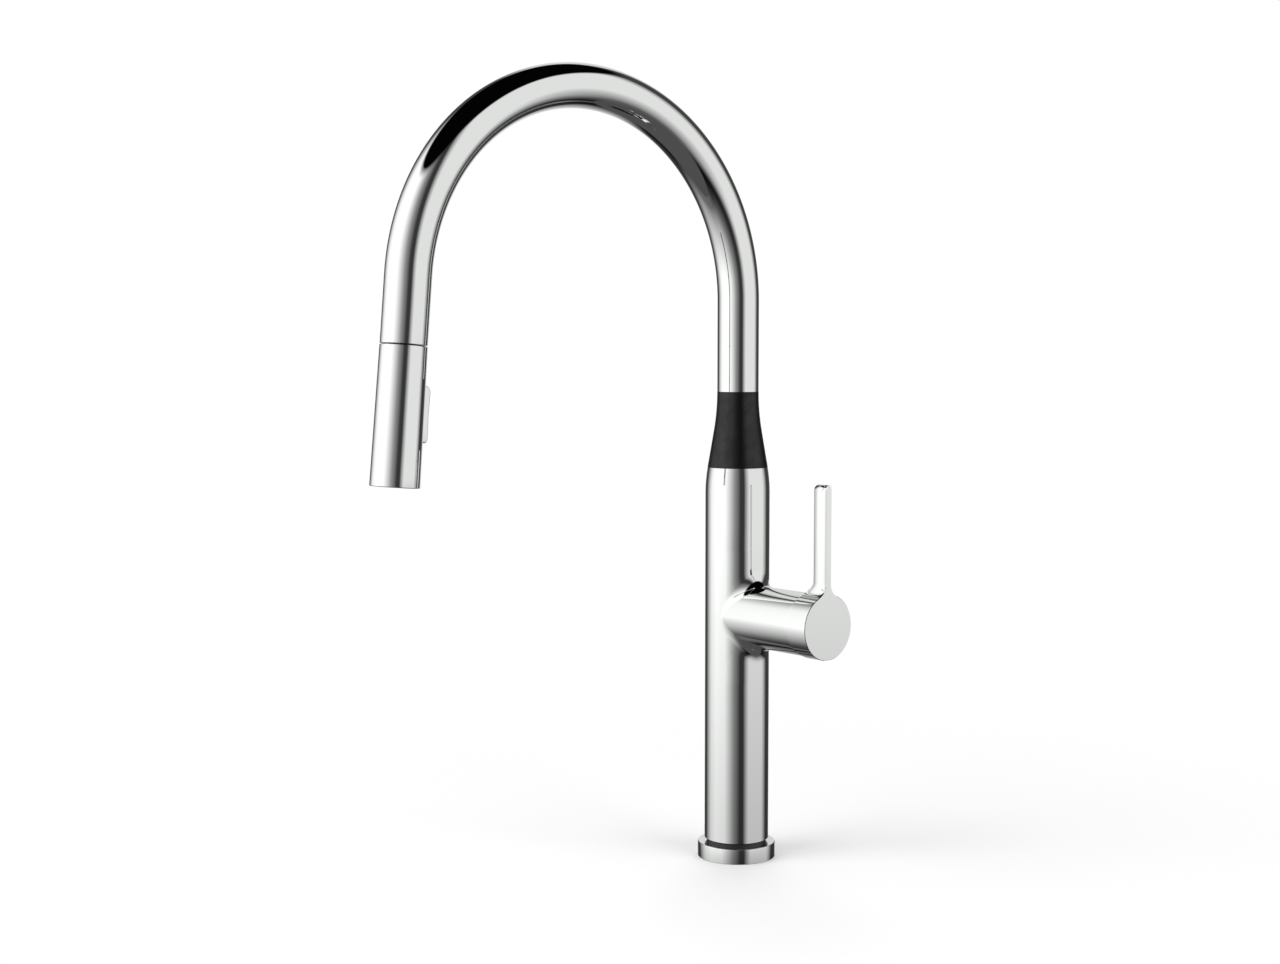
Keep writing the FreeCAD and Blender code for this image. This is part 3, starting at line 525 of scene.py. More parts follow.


# Points in the column's bore and the boss's bore, which get the near-black painted shade.
def inside_body(point):
    from_boss = math.hypot(point.y, point.z - handle_height)
    if point.x > body_radius:
        return from_boss < boss_radius - 0.0006
    return math.hypot(point.x, point.y) < body_radius - 0.0022 and point.z < tube_z_start


# The column's and the boss's bores get the near-black painted shade.
paint_recess_shade(body_skin, inside_body)
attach(body_skin, "faucet_body")
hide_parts("body_shell")

# ---- Spout --------------------------------------------------------------------------------
# One-inch brass tube, cut straight, eased at its end and then bent on a former. The tube is
# turned straight here, and a tree of nodes does the bending.
ARC_ROWS = 110


def bender_tree():
    """Bends what stands along Z over towards -Y, from a height, at a radius, through an angle."""
    tree, given, out = new_tree(
        "tube bender", "GeometryNodeTree",
        [("Geometry", "Geometry"), ("Bend Start", "Float", 0.3), ("Bend Radius", "Float", 0.1),
         ("Bend Angle", "Float", 3.0), ("Finish", "Material")], [("Geometry", "Geometry")])
    place = add_node(tree, "GeometryNodeInputPosition").outputs["Position"]
    split = add_node(tree, "ShaderNodeSeparateXYZ", {0: place}).outputs
    work = partial(calc, tree)
    start = given["Bend Start"]
    radius = given["Bend Radius"]
    whole_angle = given["Bend Angle"]
    past = work("MAXIMUM", work("SUBTRACT", split["Z"], start), 0.0)
    angle = work("MINIMUM", work("DIVIDE", past, radius), whole_angle)
    leg = work("MAXIMUM", work("SUBTRACT", past, work("MULTIPLY", radius, whole_angle)), 0.0)
    foot = work("MINIMUM", split["Z"], start)
    cosine = work("COSINE", angle)
    sine = work("SINE", angle)
    from_former = work("ADD", radius, split["Y"])
    y = work("SUBTRACT", work("SUBTRACT", work("MULTIPLY", from_former, cosine), radius),
             work("MULTIPLY", sine, leg))
    z = work("ADD", work("ADD", foot, work("MULTIPLY", from_former, sine)),
             work("MULTIPLY", cosine, leg))
    bent = add_node(tree, "ShaderNodeCombineXYZ", {"X": split["X"], "Y": y, "Z": z})
    move = add_node(tree, "GeometryNodeSetPosition", {
        "Geometry": given["Geometry"], "Position": bent.outputs[0]})
    return end_tree(tree, move.outputs["Geometry"], given["Finish"], out)


tube_wall = 0.00147
down_leg = Vector(joints["spray_pull"]["axis"])
seam_centre = Vector(joints["head_swivel"]["pos_m"])
leg_lean = math.atan2(-down_leg.y, -down_leg.z)
bend_angle = math.pi - leg_lean
arc_radius = 0.120
arc_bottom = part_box("spout_tube")[1].z - tube_radius - arc_radius
arc_end = Vector((0, -arc_radius * (1 - math.cos(bend_angle)),
                  arc_bottom + arc_radius * math.sin(bend_angle)))
seam_half = 0.00025
leg_length = (seam_centre - arc_end).length - seam_half
arc_length = arc_radius * bend_angle
tube_end = arc_bottom + arc_length + leg_length
tube_bore = tube_radius - tube_wall
rows_up = [tube_z_start] + [arc_bottom + arc_length * i / ARC_ROWS for i in range(ARC_ROWS + 1)]
tube_outline = [(tube_radius, height) for height in rows_up]
tube_outline += [(tube_radius, tube_end - 0.0004)]
tube_outline += [(tube_radius - 0.0004 * (1 - math.cos(math.pi / 2 * i / 4)),
                  tube_end - 0.0004 * (1 - math.sin(math.pi / 2 * i / 4))) for i in range(1, 5)]
tube_outline += [(tube_bore, tube_end)]
tube_outline += [(tube_bore, height) for height in reversed(rows_up[::3])]
straight_tube = lathe("straight_tube", tube_outline)
bender = bender_tree()
spout = grown("spout_tube_plate", bender, base=straight_tube.data, Bend_Start=arc_bottom,
              Bend_Radius=arc_radius, Bend_Angle=bend_angle, Finish=chrome)
bpy.data.objects.remove(straight_tube)
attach(spout, "faucet_body")
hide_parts("spout_tube")

# ---- Lever --------------------------------------------------------------------------------
# Zinc casting, polished and plated: a flat-faced hub with the stem flowing out of its rim
# through two hollow curves. The back is hollow, and slants away below the tilt pin.
hub_radius = 0.0196
hub_easing = 0.0003
foot_fillet = 0.0087
stem_flat = 0.00205
stem_wide = 0.0034
stem_deep = 0.0064
stem_middle = 0.0736
hub_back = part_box("lever_handle")[0].x
hub_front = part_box("lever_handle")[1].x
lever_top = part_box("lever_handle")[1].z
foot_reach = hub_radius + foot_fillet
foot_across = stem_flat + foot_fillet
foot_rise = math.sqrt(foot_reach ** 2 - foot_across ** 2)
foot_low = foot_rise * hub_radius / foot_reach
SIDE_STEPS = 26
FACE_STEPS = 6


def lever_section(height):
    """Half of the lever's outline at a height, from the middle of its front to its back."""
    rise = height - handle_height
    if rise < foot_low:
        width = math.sqrt(max(hub_radius ** 2 - rise ** 2, 0))
        face = math.sqrt(max((hub_radius - hub_easing) ** 2 - rise ** 2, 0))
        oval = 0.0
    elif rise < foot_rise:
        width = foot_across - math.sqrt(foot_fillet ** 2 - (foot_rise - rise) ** 2)
        face = width - hub_easing * (foot_rise - rise) / (foot_rise - foot_low)
        share = (rise - foot_low) / (foot_rise - foot_low)
        oval = share * share * (3 - 2 * share)
    else:
        width = stem_flat
        face = stem_flat
        oval = 1.0
    tip = max(height - (lever_top - stem_wide), 0) / stem_wide
    narrow = math.sqrt(max(1 - tip ** 2, 0))
    front = hub_front - hub_easing * (1 - oval) * (1 if face <= 0 else 0)
    start = math.acos((hub_front - stem_middle) / stem_deep)
    half = []
    for i in range(FACE_STEPS):
        half.append((front, face * i / FACE_STEPS * narrow))
    half.append((front, face * narrow))
    for i in range(SIDE_STEPS + 1):
        turn = start + (math.pi - start) * i / SIDE_STEPS
        bulge = width / math.sin(start)
        oval_x = stem_middle + stem_deep * math.cos(turn)
        oval_y = bulge * math.sin(turn)
        side = i / (SIDE_STEPS * 0.7)
        if side <= 1:
            square_x = hub_front - hub_easing + (hub_back + hub_easing * 2 - hub_front) * side
            square_y = width
        else:
            square_x = hub_back
            square_y = max(width - hub_easing, 0) * (1 - (side - 1) / (1 / 0.7 - 1))
        x = square_x + (oval_x - square_x) * oval
        y = square_y + (oval_y - square_y) * oval
        x = stem_middle + (x - stem_middle) * (1 - 0.55 * (1 - narrow))
        half.append((x, y * narrow))
    return half


def lever_heights():
    """Heights of the lever's sections, close together where its outline curves."""
    rows = 80
    turn_up = math.acos(-foot_low / hub_radius)
    heights = [handle_height - hub_radius * math.cos(turn_up * (i / rows)) for i in range(rows + 1)]
    heights += [handle_height + foot_low + (foot_rise - foot_low) * i / 24 for i in range(1, 25)]
    straight_top = lever_top - stem_wide
    straight_low = handle_height + foot_rise
    heights += [straight_low + (straight_top - straight_low) * i / 10 for i in range(1, 11)]
    heights += [straight_top + stem_wide * math.sin(math.pi / 2 * i / 16) for i in range(1, 17)]
    return heights


def make_lever_skin():
    rows = []
    for height in lever_heights():
        half = lever_section(height)
        whole = half + [(x, -y) for x, y in reversed(half[1:-1])]
        rows.append([(x, y, height) for x, y in whole])
    per_row = len(rows[0])
    faces = []
    for row in range(len(rows) - 1):
        faces += band(row_of(row, per_row), row_of(row + 1, per_row))
    return [point for row in rows for point in row], faces


def facing_out(piece, merged):
    """Turns every face outwards, after points that lie on each other are merged if asked."""
    work = bmesh.new()
    work.from_mesh(piece.data)
    if merged:
        bmesh.ops.remove_doubles(work, verts=work.verts, dist=0.000002)
        bmesh.ops.dissolve_degenerate(work, edges=work.edges, dist=0.0000005)
    bmesh.ops.recalc_face_normals(work, faces=work.faces)
    work.to_mesh(piece.data)
    work.free()
    return piece


lever_skin = facing_out(smooth_mesh("lever_plate", *make_lever_skin()), True)


def prism(name, outline, low, high, axis):
    """A flat-sided solid: an outline of points at the low end, pushed along an axis."""
    outline = [Vector(point) for point in outline]
    push = Vector(axis)
    size = len(outline)
    points = [point + push * low for point in outline] + [point + push * high for point in outline]
    faces = [tuple(reversed(range(size))), tuple(range(size, 2 * size))]
    faces += band(range(size), range(size, 2 * size))
    mesh = bpy.data.meshes.new(name)
    mesh.from_pydata(points, [], faces)
    return put_in_scene(name, mesh)


def cut_away(piece, tools):
    """Cuts tools out of a piece for good."""
    for tool in tools:
        modifier = piece.modifiers.new("cut", "BOOLEAN")
        modifier.operation = "DIFFERENCE"
        modifier.solver = "EXACT"
        modifier.object = tool
    shade(baked(piece).data)
    for tool in tools:
        bpy.data.objects.remove(tool)


pivot = Vector(joints["handle_tilt"]["pos_m"])
tilt_limit = math.radians(joints["handle_tilt"]["range_deg"][1] + 1)
hollow_radius = hub_radius - 0.0041
hollow = prism("hollow", [(0, hollow_radius * math.cos(turn * math.pi / 48),
                           handle_height + hollow_radius * math.sin(turn * math.pi / 48))
                          for turn in range(96)], hub_back - 0.004, hub_front - 0.0045, (1, 0, 0))
reach = hub_radius + 0.002
slant = prism("slant", [(hub_back - 0.002, 0, pivot.z), (hub_back, 0, pivot.z),
                        (hub_back + math.tan(tilt_limit) * reach, 0, pivot.z - reach),
                        (hub_back - 0.002, 0, pivot.z - reach)], -0.03, 0.03, (0, 1, 0))
cut_away(lever_skin, [hollow, slant])
lug_radius = 0.003
lug_half = 0.00295
across_pin = Matrix.Translation(pivot) @ Matrix.Rotation(math.pi / 2, 4, "X")
pin_hole = 0.00155
lug = lathe("lug", [(pin_hole, -lug_half), (lug_radius, -lug_half), (lug_radius, lug_half),
                    (pin_hole, lug_half)], across_pin, steps=48)
web_start = pivot.x + 0.0022
web_end = hub_front - 0.0044
web_low = pivot.z - lug_radius
web_high = pivot.z + lug_radius
web = prism("web", [(web_start, 0, web_low), (web_end, 0, web_low), (web_end, 0, web_high),
                    (web_start, 0, web_high)], -lug_half, lug_half, (0, 1, 0))
lever_skin = joined([lever_skin, lug, facing_out(web, True)])
lever_skin.data.materials.append(chrome)


def inside_hub(point):
    """Whether a point is on the hub's back or in its hollow, where the shade is painted."""
    if point.z >= handle_height + hub_radius - 0.0008:
        return False
    from_axis = math.hypot(point.y, point.z - handle_height)
    in_hollow = from_axis < hollow_radius + 0.0001 and point.x < hub_front - 0.0040
    return point.x < hub_back + 0.00001 or in_hollow


# The hub's back and hollow get the near-black painted shade.
paint_recess_shade(lever_skin, inside_hub)
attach(lever_skin, "lever")
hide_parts("lever_handle")

# ---- Spray head ---------------------------------------------------------------------------
# Plated shell round a plastic waterway. It widens a little towards the outlet, and has a long
# slot at the back for the rocker button.
dock = Matrix.Translation(seam_centre) @ Matrix.Rotation(-leg_lean, 4, "X")
head_length = 0.0757
head_top = 0.01284
head_end = 0.01353
head_wall = 0.0014
neck_radius = 0.0086
core_floor = 0.0692
rocker_centre = 0.0359
rocker_long = 0.0310
rocker_wide = 0.0100
rocker_proud = 0.0027


def head_radius(depth):
    return head_top + (head_end - head_top) * depth / head_length


def stadium(long, wide, y, round_top, round_end, steps=10):
    """Corner-rounded outline in the dock's XZ plane, centred on the rocker."""
    points = []
    corners = ((1, -1, round_end), (1, 1, round_top), (-1, 1, round_top), (-1, -1, round_end))
    for corner, (side, end, radius) in enumerate(corners):
        centre = (side * (wide / 2 - radius), -rocker_centre + end * (long / 2 - radius))
        for step in range(steps + 1):
            turn = math.pi / 2 * (corner - 1 + step / steps)
            points.append((centre[0] + radius * math.cos(turn), y, centre[1] + radius * math.sin(turn)))
    return points


face_radius = head_end - head_wall
shell_rows = [(head_radius(0), -0.0006)] + [(head_radius(d), -d) for d in
                                            [head_length * i / 10 for i in range(1, 10)]]
shell_outline = [(face_radius, -core_floor), (face_radius, -head_length + 0.0003),
                 (face_radius + 0.0003, -head_length)]
shell_outline += [(head_end - 0.0005 * (1 - math.sin(math.pi / 2 * i / 5)),
                   -head_length + 0.0005 * (1 - math.cos(math.pi / 2 * i / 5))) for i in range(6)]
shell_outline += [(radius, height) for radius, height in reversed(shell_rows)]
shell_outline += [(head_top - 0.0004 * (1 - math.cos(math.pi / 2 * i / 5)),
                   -seam_half - 0.0004 * (1 - math.sin(math.pi / 2 * i / 5))) for i in range(6)]
shell_outline += [(neck_radius + 0.0001, -seam_half), (neck_radius + 0.0001, -0.002),
                  (head_top - head_wall, -0.002), (head_top - head_wall, -core_floor)]
head_shell = lathe("spray_head_plate", shell_outline, dock)
gap = 0.0003
slot_outline = stadium(rocker_long + 2 * 0.00045, rocker_wide + 2 * gap, 0, 0.0024, 0.0024)
inward = (dock.to_3x3() @ Vector((0, 1, 0))).normalized()
slot_tool = prism("slot", [dock @ Vector(point) for point in slot_outline], 0.0085, 0.02, inward)
cut_away(head_shell, [slot_tool])
head_shell.data.materials.append(chrome)
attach(head_shell, "spray_head")
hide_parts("head_shell")

# ---- Rocker button ------------------------------------------------------------------------
# Moulded and plated rocker that switches between stream and spray. Each half dips a little
# towards the middle so that a thumb finds it without looking.


def moulded_group():
    """Fine spark-eroded grain and the slight colour drift of moulded plastic."""
    group, given, out = new_tree(
        "moulded grain", "ShaderNodeTree",
        [("Plastic", "Color", (0.3, 0.3, 0.3, 1)), ("Faded", "Color", (0.35, 0.35, 0.35, 1)),
         ("Grain Scale", "Float", 2500.0), ("Grain Depth", "Float", 0.00003),
         ("Smooth", "Float", 0.28), ("Rough", "Float", 0.42)],
        [("Color", "Color"), ("Roughness", "Float"), ("Normal", "Vector")])
    place = add_node(group, "ShaderNodeTexCoord").outputs["Object"]
    drift = add_node(group, "ShaderNodeTexNoise", {"Vector": place, "Scale": 90.0, "Detail": 3.0})
    mix = add_node(group, "ShaderNodeMix", {
        "Factor": drift.outputs["Fac"], "A": given["Plastic"], "B": given["Faded"]},
        data_type="RGBA")
    feed(group, out["Color"], mix.outputs["Result"])
    gloss = add_node(group, "ShaderNodeMapRange", {
        "Value": drift.outputs["Fac"], "To Min": given["Smooth"], "To Max": given["Rough"]})
    feed(group, out["Roughness"], gloss.outputs["Result"])
    grain = add_node(group, "ShaderNodeTexNoise", {
        "Vector": place, "Scale": given["Grain Scale"], "Detail": 2.0})
    bump = add_node(group, "ShaderNodeBump", {
        "Strength": 0.35, "Distance": given["Grain Depth"], "Height": grain.outputs["Fac"]})
    feed(group, out["Normal"], bump.outputs["Normal"])
    return group


def moulded(name, plastic, faded, **values):
    """A moulded plastic or rubber with grain and colour drift."""
    material, shader = new_material(name, plastic, 0.0, 0.4)
    add_effect(material, shader, moulded_grain, Plastic=(*plastic, 1), Faded=(*faded, 1), **values)
    return material


moulded_grain = moulded_group()
grey_plastic = moulded("grey plastic", (0.30, 0.31, 0.32), (0.33, 0.34, 0.35))
surface = head_radius(rocker_centre)
dip = 0.00035
top_round = 0.0040
end_round = 0.0023
rocker_high = -rocker_centre + rocker_long / 2
rocker_low = -rocker_centre - rocker_long / 2
crest = surface + rocker_proud
profile = [(surface - 0.0031, rocker_low)]
profile += [(crest - end_round + end_round * math.sin(math.pi / 2 * i / 8),
             rocker_low + end_round - end_round * math.cos(math.pi / 2 * i / 8)) for i in range(9)]
for i in range(1, 16):
    share = i / 16
    height = rocker_low + end_round + (rocker_long - end_round - top_round) * share
    toward = 1 - abs(height + rocker_centre) / (rocker_long / 2)
    profile.append((crest - dip * max(toward, 0) ** 1.3, height))
profile += [(crest - top_round + top_round * math.cos(math.pi / 2 * i / 10),
             rocker_high - top_round + top_round * math.sin(math.pi / 2 * i / 10)) for i in range(11)]
profile.append((surface - 0.0031, rocker_high))
side = (dock.to_3x3() @ Vector((1, 0, 0))).normalized()
rocker = prism("rocker_cap", [dock @ Vector((0, y, z)) for y, z in reversed(profile)],
               -rocker_wide / 2, rocker_wide / 2, side)
easing = rocker.modifiers.new("easing", "BEVEL")
easing.width = 0.0009
easing.segments = 5
easing.limit_method = "ANGLE"
easing.angle_limit = math.radians(50)
cut_away(rocker, [])
rocker.data.materials.append(chrome)
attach(rocker, "rocker")
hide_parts("rocker_button")

# ---- Seals and running rings ----------------------------------------------------------------
# Moulded rubber gasket under the base ring and seal on the waterway, and the acetal rings that
# the body turns on. They keep their plain shapes and get their own surfaces.
black_rubber = moulded("black rubber", (0.020, 0.020, 0.021), (0.034, 0.033, 0.032),
                       Grain_Scale=1500.0, Grain_Depth=0.00005, Smooth=0.55, Rough=0.75)
black_acetal = moulded("black acetal", (0.018, 0.018, 0.019), (0.028, 0.028, 0.029),
                       Smooth=0.34, Rough=0.48)
white_acetal = moulded("white acetal", (0.78, 0.78, 0.75), (0.70, 0.69, 0.65),
                       Smooth=0.30, Rough=0.45)


def finish(material, *names):
    """Gives carried-over nodes their surface."""
    for name in names:
        for place_in in frame["nodes"][name].material_slots:
            place_in.material = material


finish(black_rubber, "deck_gasket", "core_seal")
finish(black_acetal, "swivel_glide_ring", "dock_collar", "head_core", "handle_adapter")
finish(white_acetal, "swivel_band_lower", "swivel_band_upper", "hose_guide", "check_valve",
       "diverter_spool")

# ---- Inner metal parts ----------------------------------------------------------------------
# Brass manifold, nuts and fittings turned from bar, drawn copper water tubes, and turned
# stainless pins, sleeve and screw.
steel = turned_metal("turned stainless", (0.60, 0.61, 0.62), (0.46, 0.46, 0.46))
copper = turned_metal("drawn copper", (0.78, 0.45, 0.31), (0.55, 0.28, 0.18))
finish(brass, "inlet_manifold", "swivel_nut", "cartridge_nut", "cartridge_spindle",
       "hose_fitting", "ball_retainer")
finish(copper, "feed_tube_hot", "feed_tube_cold", "outlet_tube")
finish(steel, "tilt_pin", "tilt_stem", "handle_set_screw", "hose_ferrule", "rocker_pin",
       "head_magnet_ring")

# ---- Cartridge ------------------------------------------------------------------------------
# Moulded housing that holds two lapped alumina discs. Their faces are nearly mirror smooth.
ceramic = moulded("lapped alumina", (0.82, 0.81, 0.77), (0.76, 0.74, 0.70),
                  Grain_Scale=4000.0, Grain_Depth=0.00001, Smooth=0.10, Rough=0.22)
magnet_plate = turned_metal("nickel plated magnet", (0.52, 0.51, 0.48), (0.36, 0.35, 0.33))
finish(ceramic, "ceramic_disc_fixed", "ceramic_disc_moving")
finish(white_acetal, "cartridge_housing")
finish(magnet_plate, "dock_magnet")
finish(grey_plastic, "set_screw_plug")

# ---- Nozzles and spray face -----------------------------------------------------------------
# One soft silicone sheet lies behind the hard face plate, and its short nozzles stand through
# the plate's holes, where a thumb can rub the lime off them.
NOZZLE_ROWS = ((12, 0.0076), (18, 0.0102))


def ring_of_tree():
    """Stands copies of one object on a ring of the given radius."""
    tree, given, out = new_tree(
        "ring of nozzles", "GeometryNodeTree",
        [("Copies", "Int", 12), ("Ring Radius", "Float", 0.01), ("Pattern", "Object"),
         ("Finish", "Material")], [("Geometry", "Geometry")])
    spots = add_node(tree, "GeometryNodeMeshCircle", {
        "Vertices": given["Copies"], "Radius": given["Ring Radius"]})
    pattern = add_node(tree, "GeometryNodeObjectInfo", {"Object": given["Pattern"]})
    stand = add_node(tree, "GeometryNodeInstanceOnPoints", {
        "Points": spots.outputs["Mesh"], "Instance": pattern.outputs["Geometry"]})
    return end_tree(tree, stand.outputs["Instances"], given["Finish"], out)


silicone = moulded("grey silicone", (0.22, 0.23, 0.24), (0.27, 0.28, 0.29),
                   Grain_Scale=1800.0, Grain_Depth=0.00002, Smooth=0.42, Rough=0.60)
sheet_thickness = 0.0011
nozzle_end = -0.0754
sheet_low = -core_floor - sheet_thickness
aerator_radius = 0.0055
nozzle_outline = [(0.00034, sheet_low + 0.0003), (0.00034, nozzle_end + 0.0001)]
nozzle_outline += [(0.00044 + 0.00022 * math.sin(math.pi / 2 * i / 4),
                    nozzle_end + 0.00022 * (1 - math.cos(math.pi / 2 * i / 4))) for i in range(5)]
nozzle_outline += [(0.00074, sheet_low + 0.0003)]
nozzle = lathe("nozzle", nozzle_outline, steps=20)
ring_of = ring_of_tree()
sheet_outline = [(aerator_radius + 0.0001, sheet_low), (face_radius - 0.0001, sheet_low),
                 (face_radius - 0.0001, -core_floor), (aerator_radius + 0.0001, -core_floor)]
nozzle_sheet = lathe("nozzle_sheet_moulding", sheet_outline, steps=96)
nozzle_sheet.data.materials.append(silicone)
rows = [grown(f"nozzle_row_{copies}", ring_of, Copies=copies, Ring_Radius=radius, Pattern=nozzle,
              Finish=silicone) for copies, radius in NOZZLE_ROWS]
nozzle_sheet = joined([nozzle_sheet] + rows)
bpy.data.objects.remove(nozzle)
nozzle_sheet.data.transform(dock)
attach(nozzle_sheet, "spray_head")
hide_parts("nozzle_sheet")
finish(black_acetal, "spray_face")
finish(grey_plastic, "aerator")

# ---- Spray hose -----------------------------------------------------------------------------
# Rubber hose in a braid of nylon yarn, wound by two sets of bobbins that run opposite ways.
# It is wound evenly at its drawn-out length, and inside the leg it lies bunched.
YARNS_EACH_WAY = 14
TURN_LENGTH = 0.040


def braid_tree():
    """Winds two opposite sets of yarns round Z, each passing over and under the other."""
    tree, given, out = new_tree(
        "hose braid", "GeometryNodeTree",
        [("Length", "Float", 0.2), ("Hose Radius", "Float", 0.005),
         ("Yarn Radius", "Float", 0.0003), ("Turn Length", "Float", 0.04),
         ("Yarns Each Way", "Int", 14), ("Points", "Int", 300), ("Finish", "Material")],
        [("Geometry", "Geometry")])
    work = partial(calc, tree)
    yarns_each_way = given["Yarns Each Way"]
    end = add_node(tree, "ShaderNodeCombineXYZ", {"Z": given["Length"]})
    yarn_line = add_node(tree, "GeometryNodeCurvePrimitiveLine", {"End": end.outputs[0]})
    dense = add_node(tree, "GeometryNodeResampleCurve", {
        "Curve": yarn_line.outputs["Curve"], "Count": given["Points"]})
    copies = add_node(tree, "GeometryNodeDuplicateElements", {
        "Geometry": dense.outputs["Curve"], "Amount": work("MULTIPLY", yarns_each_way, 2.0)},
        domain="SPLINE")
    number = copies.outputs["Duplicate Index"]
    runs_back = work("GREATER_THAN", number, work("SUBTRACT", yarns_each_way, 0.5))
    way = work("SUBTRACT", 1.0, work("MULTIPLY", runs_back, 2.0))
    place = add_node(tree, "GeometryNodeInputPosition").outputs["Position"]
    height = add_node(tree, "ShaderNodeSeparateXYZ", {0: place}).outputs["Z"]
    turned = work("MULTIPLY", work("DIVIDE", height, given["Turn Length"]), math.tau)
    first_angle = work("MULTIPLY", work("DIVIDE", number, yarns_each_way), math.tau)
    angle = work("ADD", work("MULTIPLY", turned, way), first_angle)
    crossing = work("COSINE", work("MULTIPLY", turned, yarns_each_way))
    lift = work("MULTIPLY", work("MULTIPLY", crossing, way), given["Yarn Radius"])
    radius = work("ADD", given["Hose Radius"], lift)
    wound = add_node(tree, "ShaderNodeCombineXYZ", {
        "X": work("MULTIPLY", radius, work("COSINE", angle)),
        "Y": work("MULTIPLY", radius, work("SINE", angle)), "Z": height})
    move = add_node(tree, "GeometryNodeSetPosition", {
        "Geometry": copies.outputs["Geometry"], "Position": wound.outputs[0]})
    section = add_node(tree, "GeometryNodeCurvePrimitiveCircle", {
        "Resolution": 5, "Radius": given["Yarn Radius"]})
    yarns = add_node(tree, "GeometryNodeCurveToMesh", {
        "Curve": move.outputs["Geometry"], "Profile Curve": section.outputs["Curve"],
        "Fill Caps": True})
    return end_tree(tree, yarns.outputs["Mesh"], given["Finish"], out)


yarn = moulded("braided nylon", (0.30, 0.31, 0.32), (0.19, 0.20, 0.21), Grain_Scale=3500.0,
               Grain_Depth=0.00006, Smooth=0.45, Rough=0.65)
hose_bore = 0.00325
leg_top = 0.0373
ferrule_top = 0.0260
hose_end = 0.0125
pull = joints["spray_pull"]["range_m"][1]
bunched = leg_top - ferrule_top
drawn_length = bunched + pull + ferrule_top - hose_end
yarn_radius = 0.00028
braid_radius = 0.0051
steps_per_turn = YARNS_EACH_WAY * 4
braid = grown("spray_hose_braid", braid_tree(), Length=drawn_length, Hose_Radius=braid_radius,
              Yarn_Radius=yarn_radius, Turn_Length=TURN_LENGTH, Yarns_Each_Way=YARNS_EACH_WAY,
              Points=int(drawn_length / TURN_LENGTH * steps_per_turn) + 1, Finish=yarn)
core_rows = [drawn_length * i / 60 for i in range(61)]
core = lathe("hose_core", [(braid_radius - yarn_radius, height) for height in core_rows]
             + [(hose_bore, height) for height in reversed(core_rows[::4])], steps=32)
core.data.materials.append(black_rubber)
braid = joined([braid, core])


def bunched_at(drawn):
    """How far below the leg's top a point lies at rest, from where it lies when drawn out."""
    if drawn >= bunched + pull:
        return drawn - pull
    low, high = 0.0, bunched
    for _ in range(40):
        middle = (low + high) / 2
        share = middle / bunched
        if middle + pull * share * share * (3 - 2 * share) < drawn:
            low = middle
        else:
            high = middle
    return (low + high) / 2


for vertex in braid.data.vertices:
    vertex.co.z = leg_top - bunched_at(vertex.co.z)
braid.data.transform(dock)
facing_out(braid, False)
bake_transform(braid)
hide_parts("hose_lower")
finish(yarn, "hose_upper")

# ---- Lamps, floor and cards ---------------------------------------------------------------
# A pale floor and two soft lamps at a plain level. Plated metal shows only what is round it,
# so tall white, grey and black cards stand in a circle, as round polished ware in a studio.
floor_size = 6.0
floor = smooth_mesh("floor", [(-floor_size, -floor_size, 0), (floor_size, -floor_size, 0),
                              (floor_size, floor_size, 0), (-floor_size, floor_size, 0)],
                    [(0, 1, 2, 3)])
floor_paint, floor_shader = new_material("floor paint", (0.90, 0.90, 0.90), 0.0, 0.9)
tree = floor_paint.node_tree
path = add_node(tree, "ShaderNodeLightPath").outputs
white = add_node(tree, "ShaderNodeEmission", {"Strength": 1.0})
place = add_node(tree, "ShaderNodeTexCoord").outputs["Object"]
distance = add_node(tree, "ShaderNodeVectorMath", {0: place}, operation="LENGTH")
fade = add_node(tree, "ShaderNodeMapRange", {
    "Value": distance.outputs["Value"], "From Min": 0.05, "From Max": 0.5})
seen_directly = calc(tree, "MAXIMUM", path["Is Camera Ray"], path["Is Transmission Ray"])
mixed = add_node(tree, "ShaderNodeMixShader", {
    "Fac": calc(tree, "MULTIPLY", seen_directly, fade.outputs["Result"]),
    1: floor_shader.outputs["BSDF"], 2: white.outputs["Emission"]})
feed(tree, tree.nodes["Material Output"].inputs["Surface"], mixed.outputs["Shader"])
floor.data.materials.append(floor_paint)
floor.visible_glossy = False

world = bpy.data.worlds.new("studio")
bpy.context.scene.world = world
world.use_nodes = True
tree = world.node_tree
background = tree.nodes["Background"]
background.inputs["Color"].default_value = (1, 1, 1, 1)
path = add_node(tree, "ShaderNodeLightPath").outputs
shown = calc(tree, "MAXIMUM", path["Is Camera Ray"], path["Is Glossy Ray"])
clear = calc(tree, "MAXIMUM", shown, path["Is Transmission Ray"])
level = add_node(tree, "ShaderNodeMapRange", {"Value": clear, "To Min": 0.55, "To Max": 1.0})
feed(tree, background.inputs["Strength"], level.outputs["Result"])

CARD_DISTANCE = 2.6
CARD_TOP = 3.4
CARD_BOTTOM = -3.0
view_turn = math.atan2(camera.location.y, camera.location.x)


def hide_from_lamps(piece):
    """A card shows only in polished surfaces: it neither lights nor shades anything."""
    piece.visible_camera = False
    piece.visible_diffuse = False
    piece.visible_shadow = False
    piece.visible_transmission = False


def glowing(piece):
    """Gives a card a paint that only glows; gives the paint's tree and its colour socket."""
    paint = bpy.data.materials.new(piece.name)
    paint.use_nodes = True
    tree = paint.node_tree
    tree.nodes.remove(tree.nodes["Principled BSDF"])
    glow = add_node(tree, "ShaderNodeEmission")
    feed(tree, tree.nodes["Material Output"].inputs["Surface"], glow.outputs["Emission"])
    piece.data.materials.append(paint)
    return tree, glow.inputs["Color"]


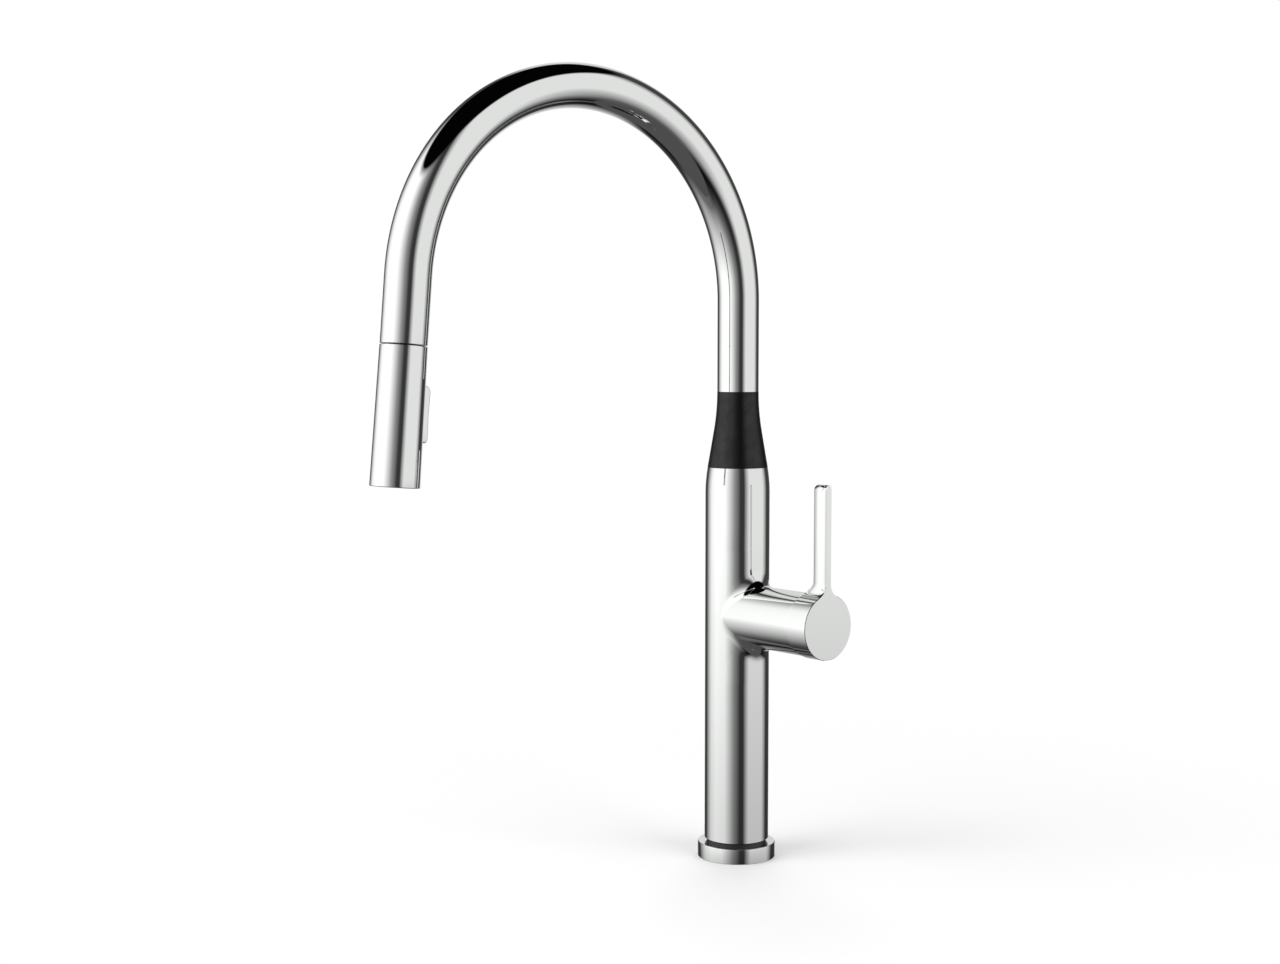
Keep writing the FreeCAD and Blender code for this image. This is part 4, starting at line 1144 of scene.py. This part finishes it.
def card(name, start, end, low, high, tones, rises):
    """A curved card between two angles, with tones from start to end that dim by the rises."""
    steps = 48
    points = []
    for i in range(steps + 1):
        turn = view_turn + math.radians(start + (end - start) * i / steps)
        for height in (low, high):
            points.append((CARD_DISTANCE * math.cos(turn), CARD_DISTANCE * math.sin(turn), height))
    faces = [(2 * i, 2 * i + 1, 2 * i + 3, 2 * i + 2) for i in range(steps)]
    piece = smooth_mesh(name, points, faces)
    layer = piece.data.uv_layers.new(name="UVMap")
    for polygon in piece.data.polygons:
        for index in polygon.loop_indices:
            vertex = piece.data.loops[index].vertex_index
            layer.data[index].uv = (vertex // 2 / steps, vertex % 2)
    tree, colour = glowing(piece)
    place = add_node(tree, "ShaderNodeUVMap").outputs["UV"]
    split = add_node(tree, "ShaderNodeSeparateXYZ", {0: place}).outputs
    dimmed = add_node(tree, "ShaderNodeMix", {"Factor": 1.0}, data_type="RGBA",
                      blend_type="MULTIPLY")
    for side, stops, into in (("X", tones, "A"), ("Y", rises, "B")):
        ramp = add_node(tree, "ShaderNodeValToRGB", {"Fac": split[side]})
        while len(ramp.color_ramp.elements) < len(stops):
            ramp.color_ramp.elements.new(0.5)
        for element, (place_on, tone) in zip(ramp.color_ramp.elements, stops):
            element.position = place_on
            element.color = (tone * 0.995, tone, tone * 0.995, 1)
        feed(tree, dimmed.inputs[into], ramp.outputs["Color"])
    feed(tree, colour, dimmed.outputs["Result"])
    hide_from_lamps(piece)


# Angles grow towards the camera's right, from straight behind the faucet and all the way round.
# The tones repeat what stands round a basin: a bright window to the left, a dark gap behind the
# camera, a plain wall to the right, and a lighter strip with dark sides behind the faucet.
card("card_round", -180, 180, CARD_BOTTOM, CARD_TOP,
     [(0.0, 0.75), (0.03, 0.70), (0.06, 0.06), (0.12, 0.06), (0.21, 1.0), (0.28, 1.2), (0.38, 1.1),
      (0.47, 0.30), (0.53, 0.04), (0.565, 0.04), (0.62, 0.82), (0.78, 0.82), (0.85, 0.04),
      (0.90, 0.06), (0.94, 0.06), (0.97, 0.70)],
     [(0.0, 0.12), (0.10, 0.13), (0.24, 0.40), (0.37, 0.70), (0.46, 1.0), (0.93, 1.0), (1.0, 0.0)])


def flat_card(name, height, tone):
    """A square card of one tone that closes the top or the bottom of the studio."""
    edge = CARD_DISTANCE + 0.4
    piece = smooth_mesh(name, [(-edge, -edge, height), (-edge, edge, height), (edge, edge, height),
                               (edge, -edge, height)], [(0, 1, 2, 3)])
    glowing(piece)[1].default_value = (tone, tone, tone, 1)
    hide_from_lamps(piece)


flat_card("card_top", CARD_TOP, 0.001)
flat_card("card_bottom", CARD_BOTTOM, 0.08)


LAMP_DISTANCE = 1.6


def lamp(name, turn, height, size, power):
    """A soft square lamp on a circle round the faucet, aimed at its middle."""
    angle = view_turn + math.radians(turn)
    piece = put_in_scene(name, bpy.data.lights.new(name, "AREA"))
    piece.data.size = size
    piece.data.energy = power
    piece.location = (LAMP_DISTANCE * math.cos(angle), LAMP_DISTANCE * math.sin(angle), height)
    aim = Vector((0, -0.1, 0.2)) - piece.location
    piece.rotation_euler = aim.to_track_quat("-Z", "Y").to_euler()
    piece.visible_glossy = False



lamp("key_lamp", -60, 1.5, 1.4, 22)
lamp("fill_lamp", 55, 1.2, 1.4, 14)
lamp("top_lamp", 180, 2.0, 1.6, 14)

bpy.context.scene.view_settings.view_transform = "Standard"
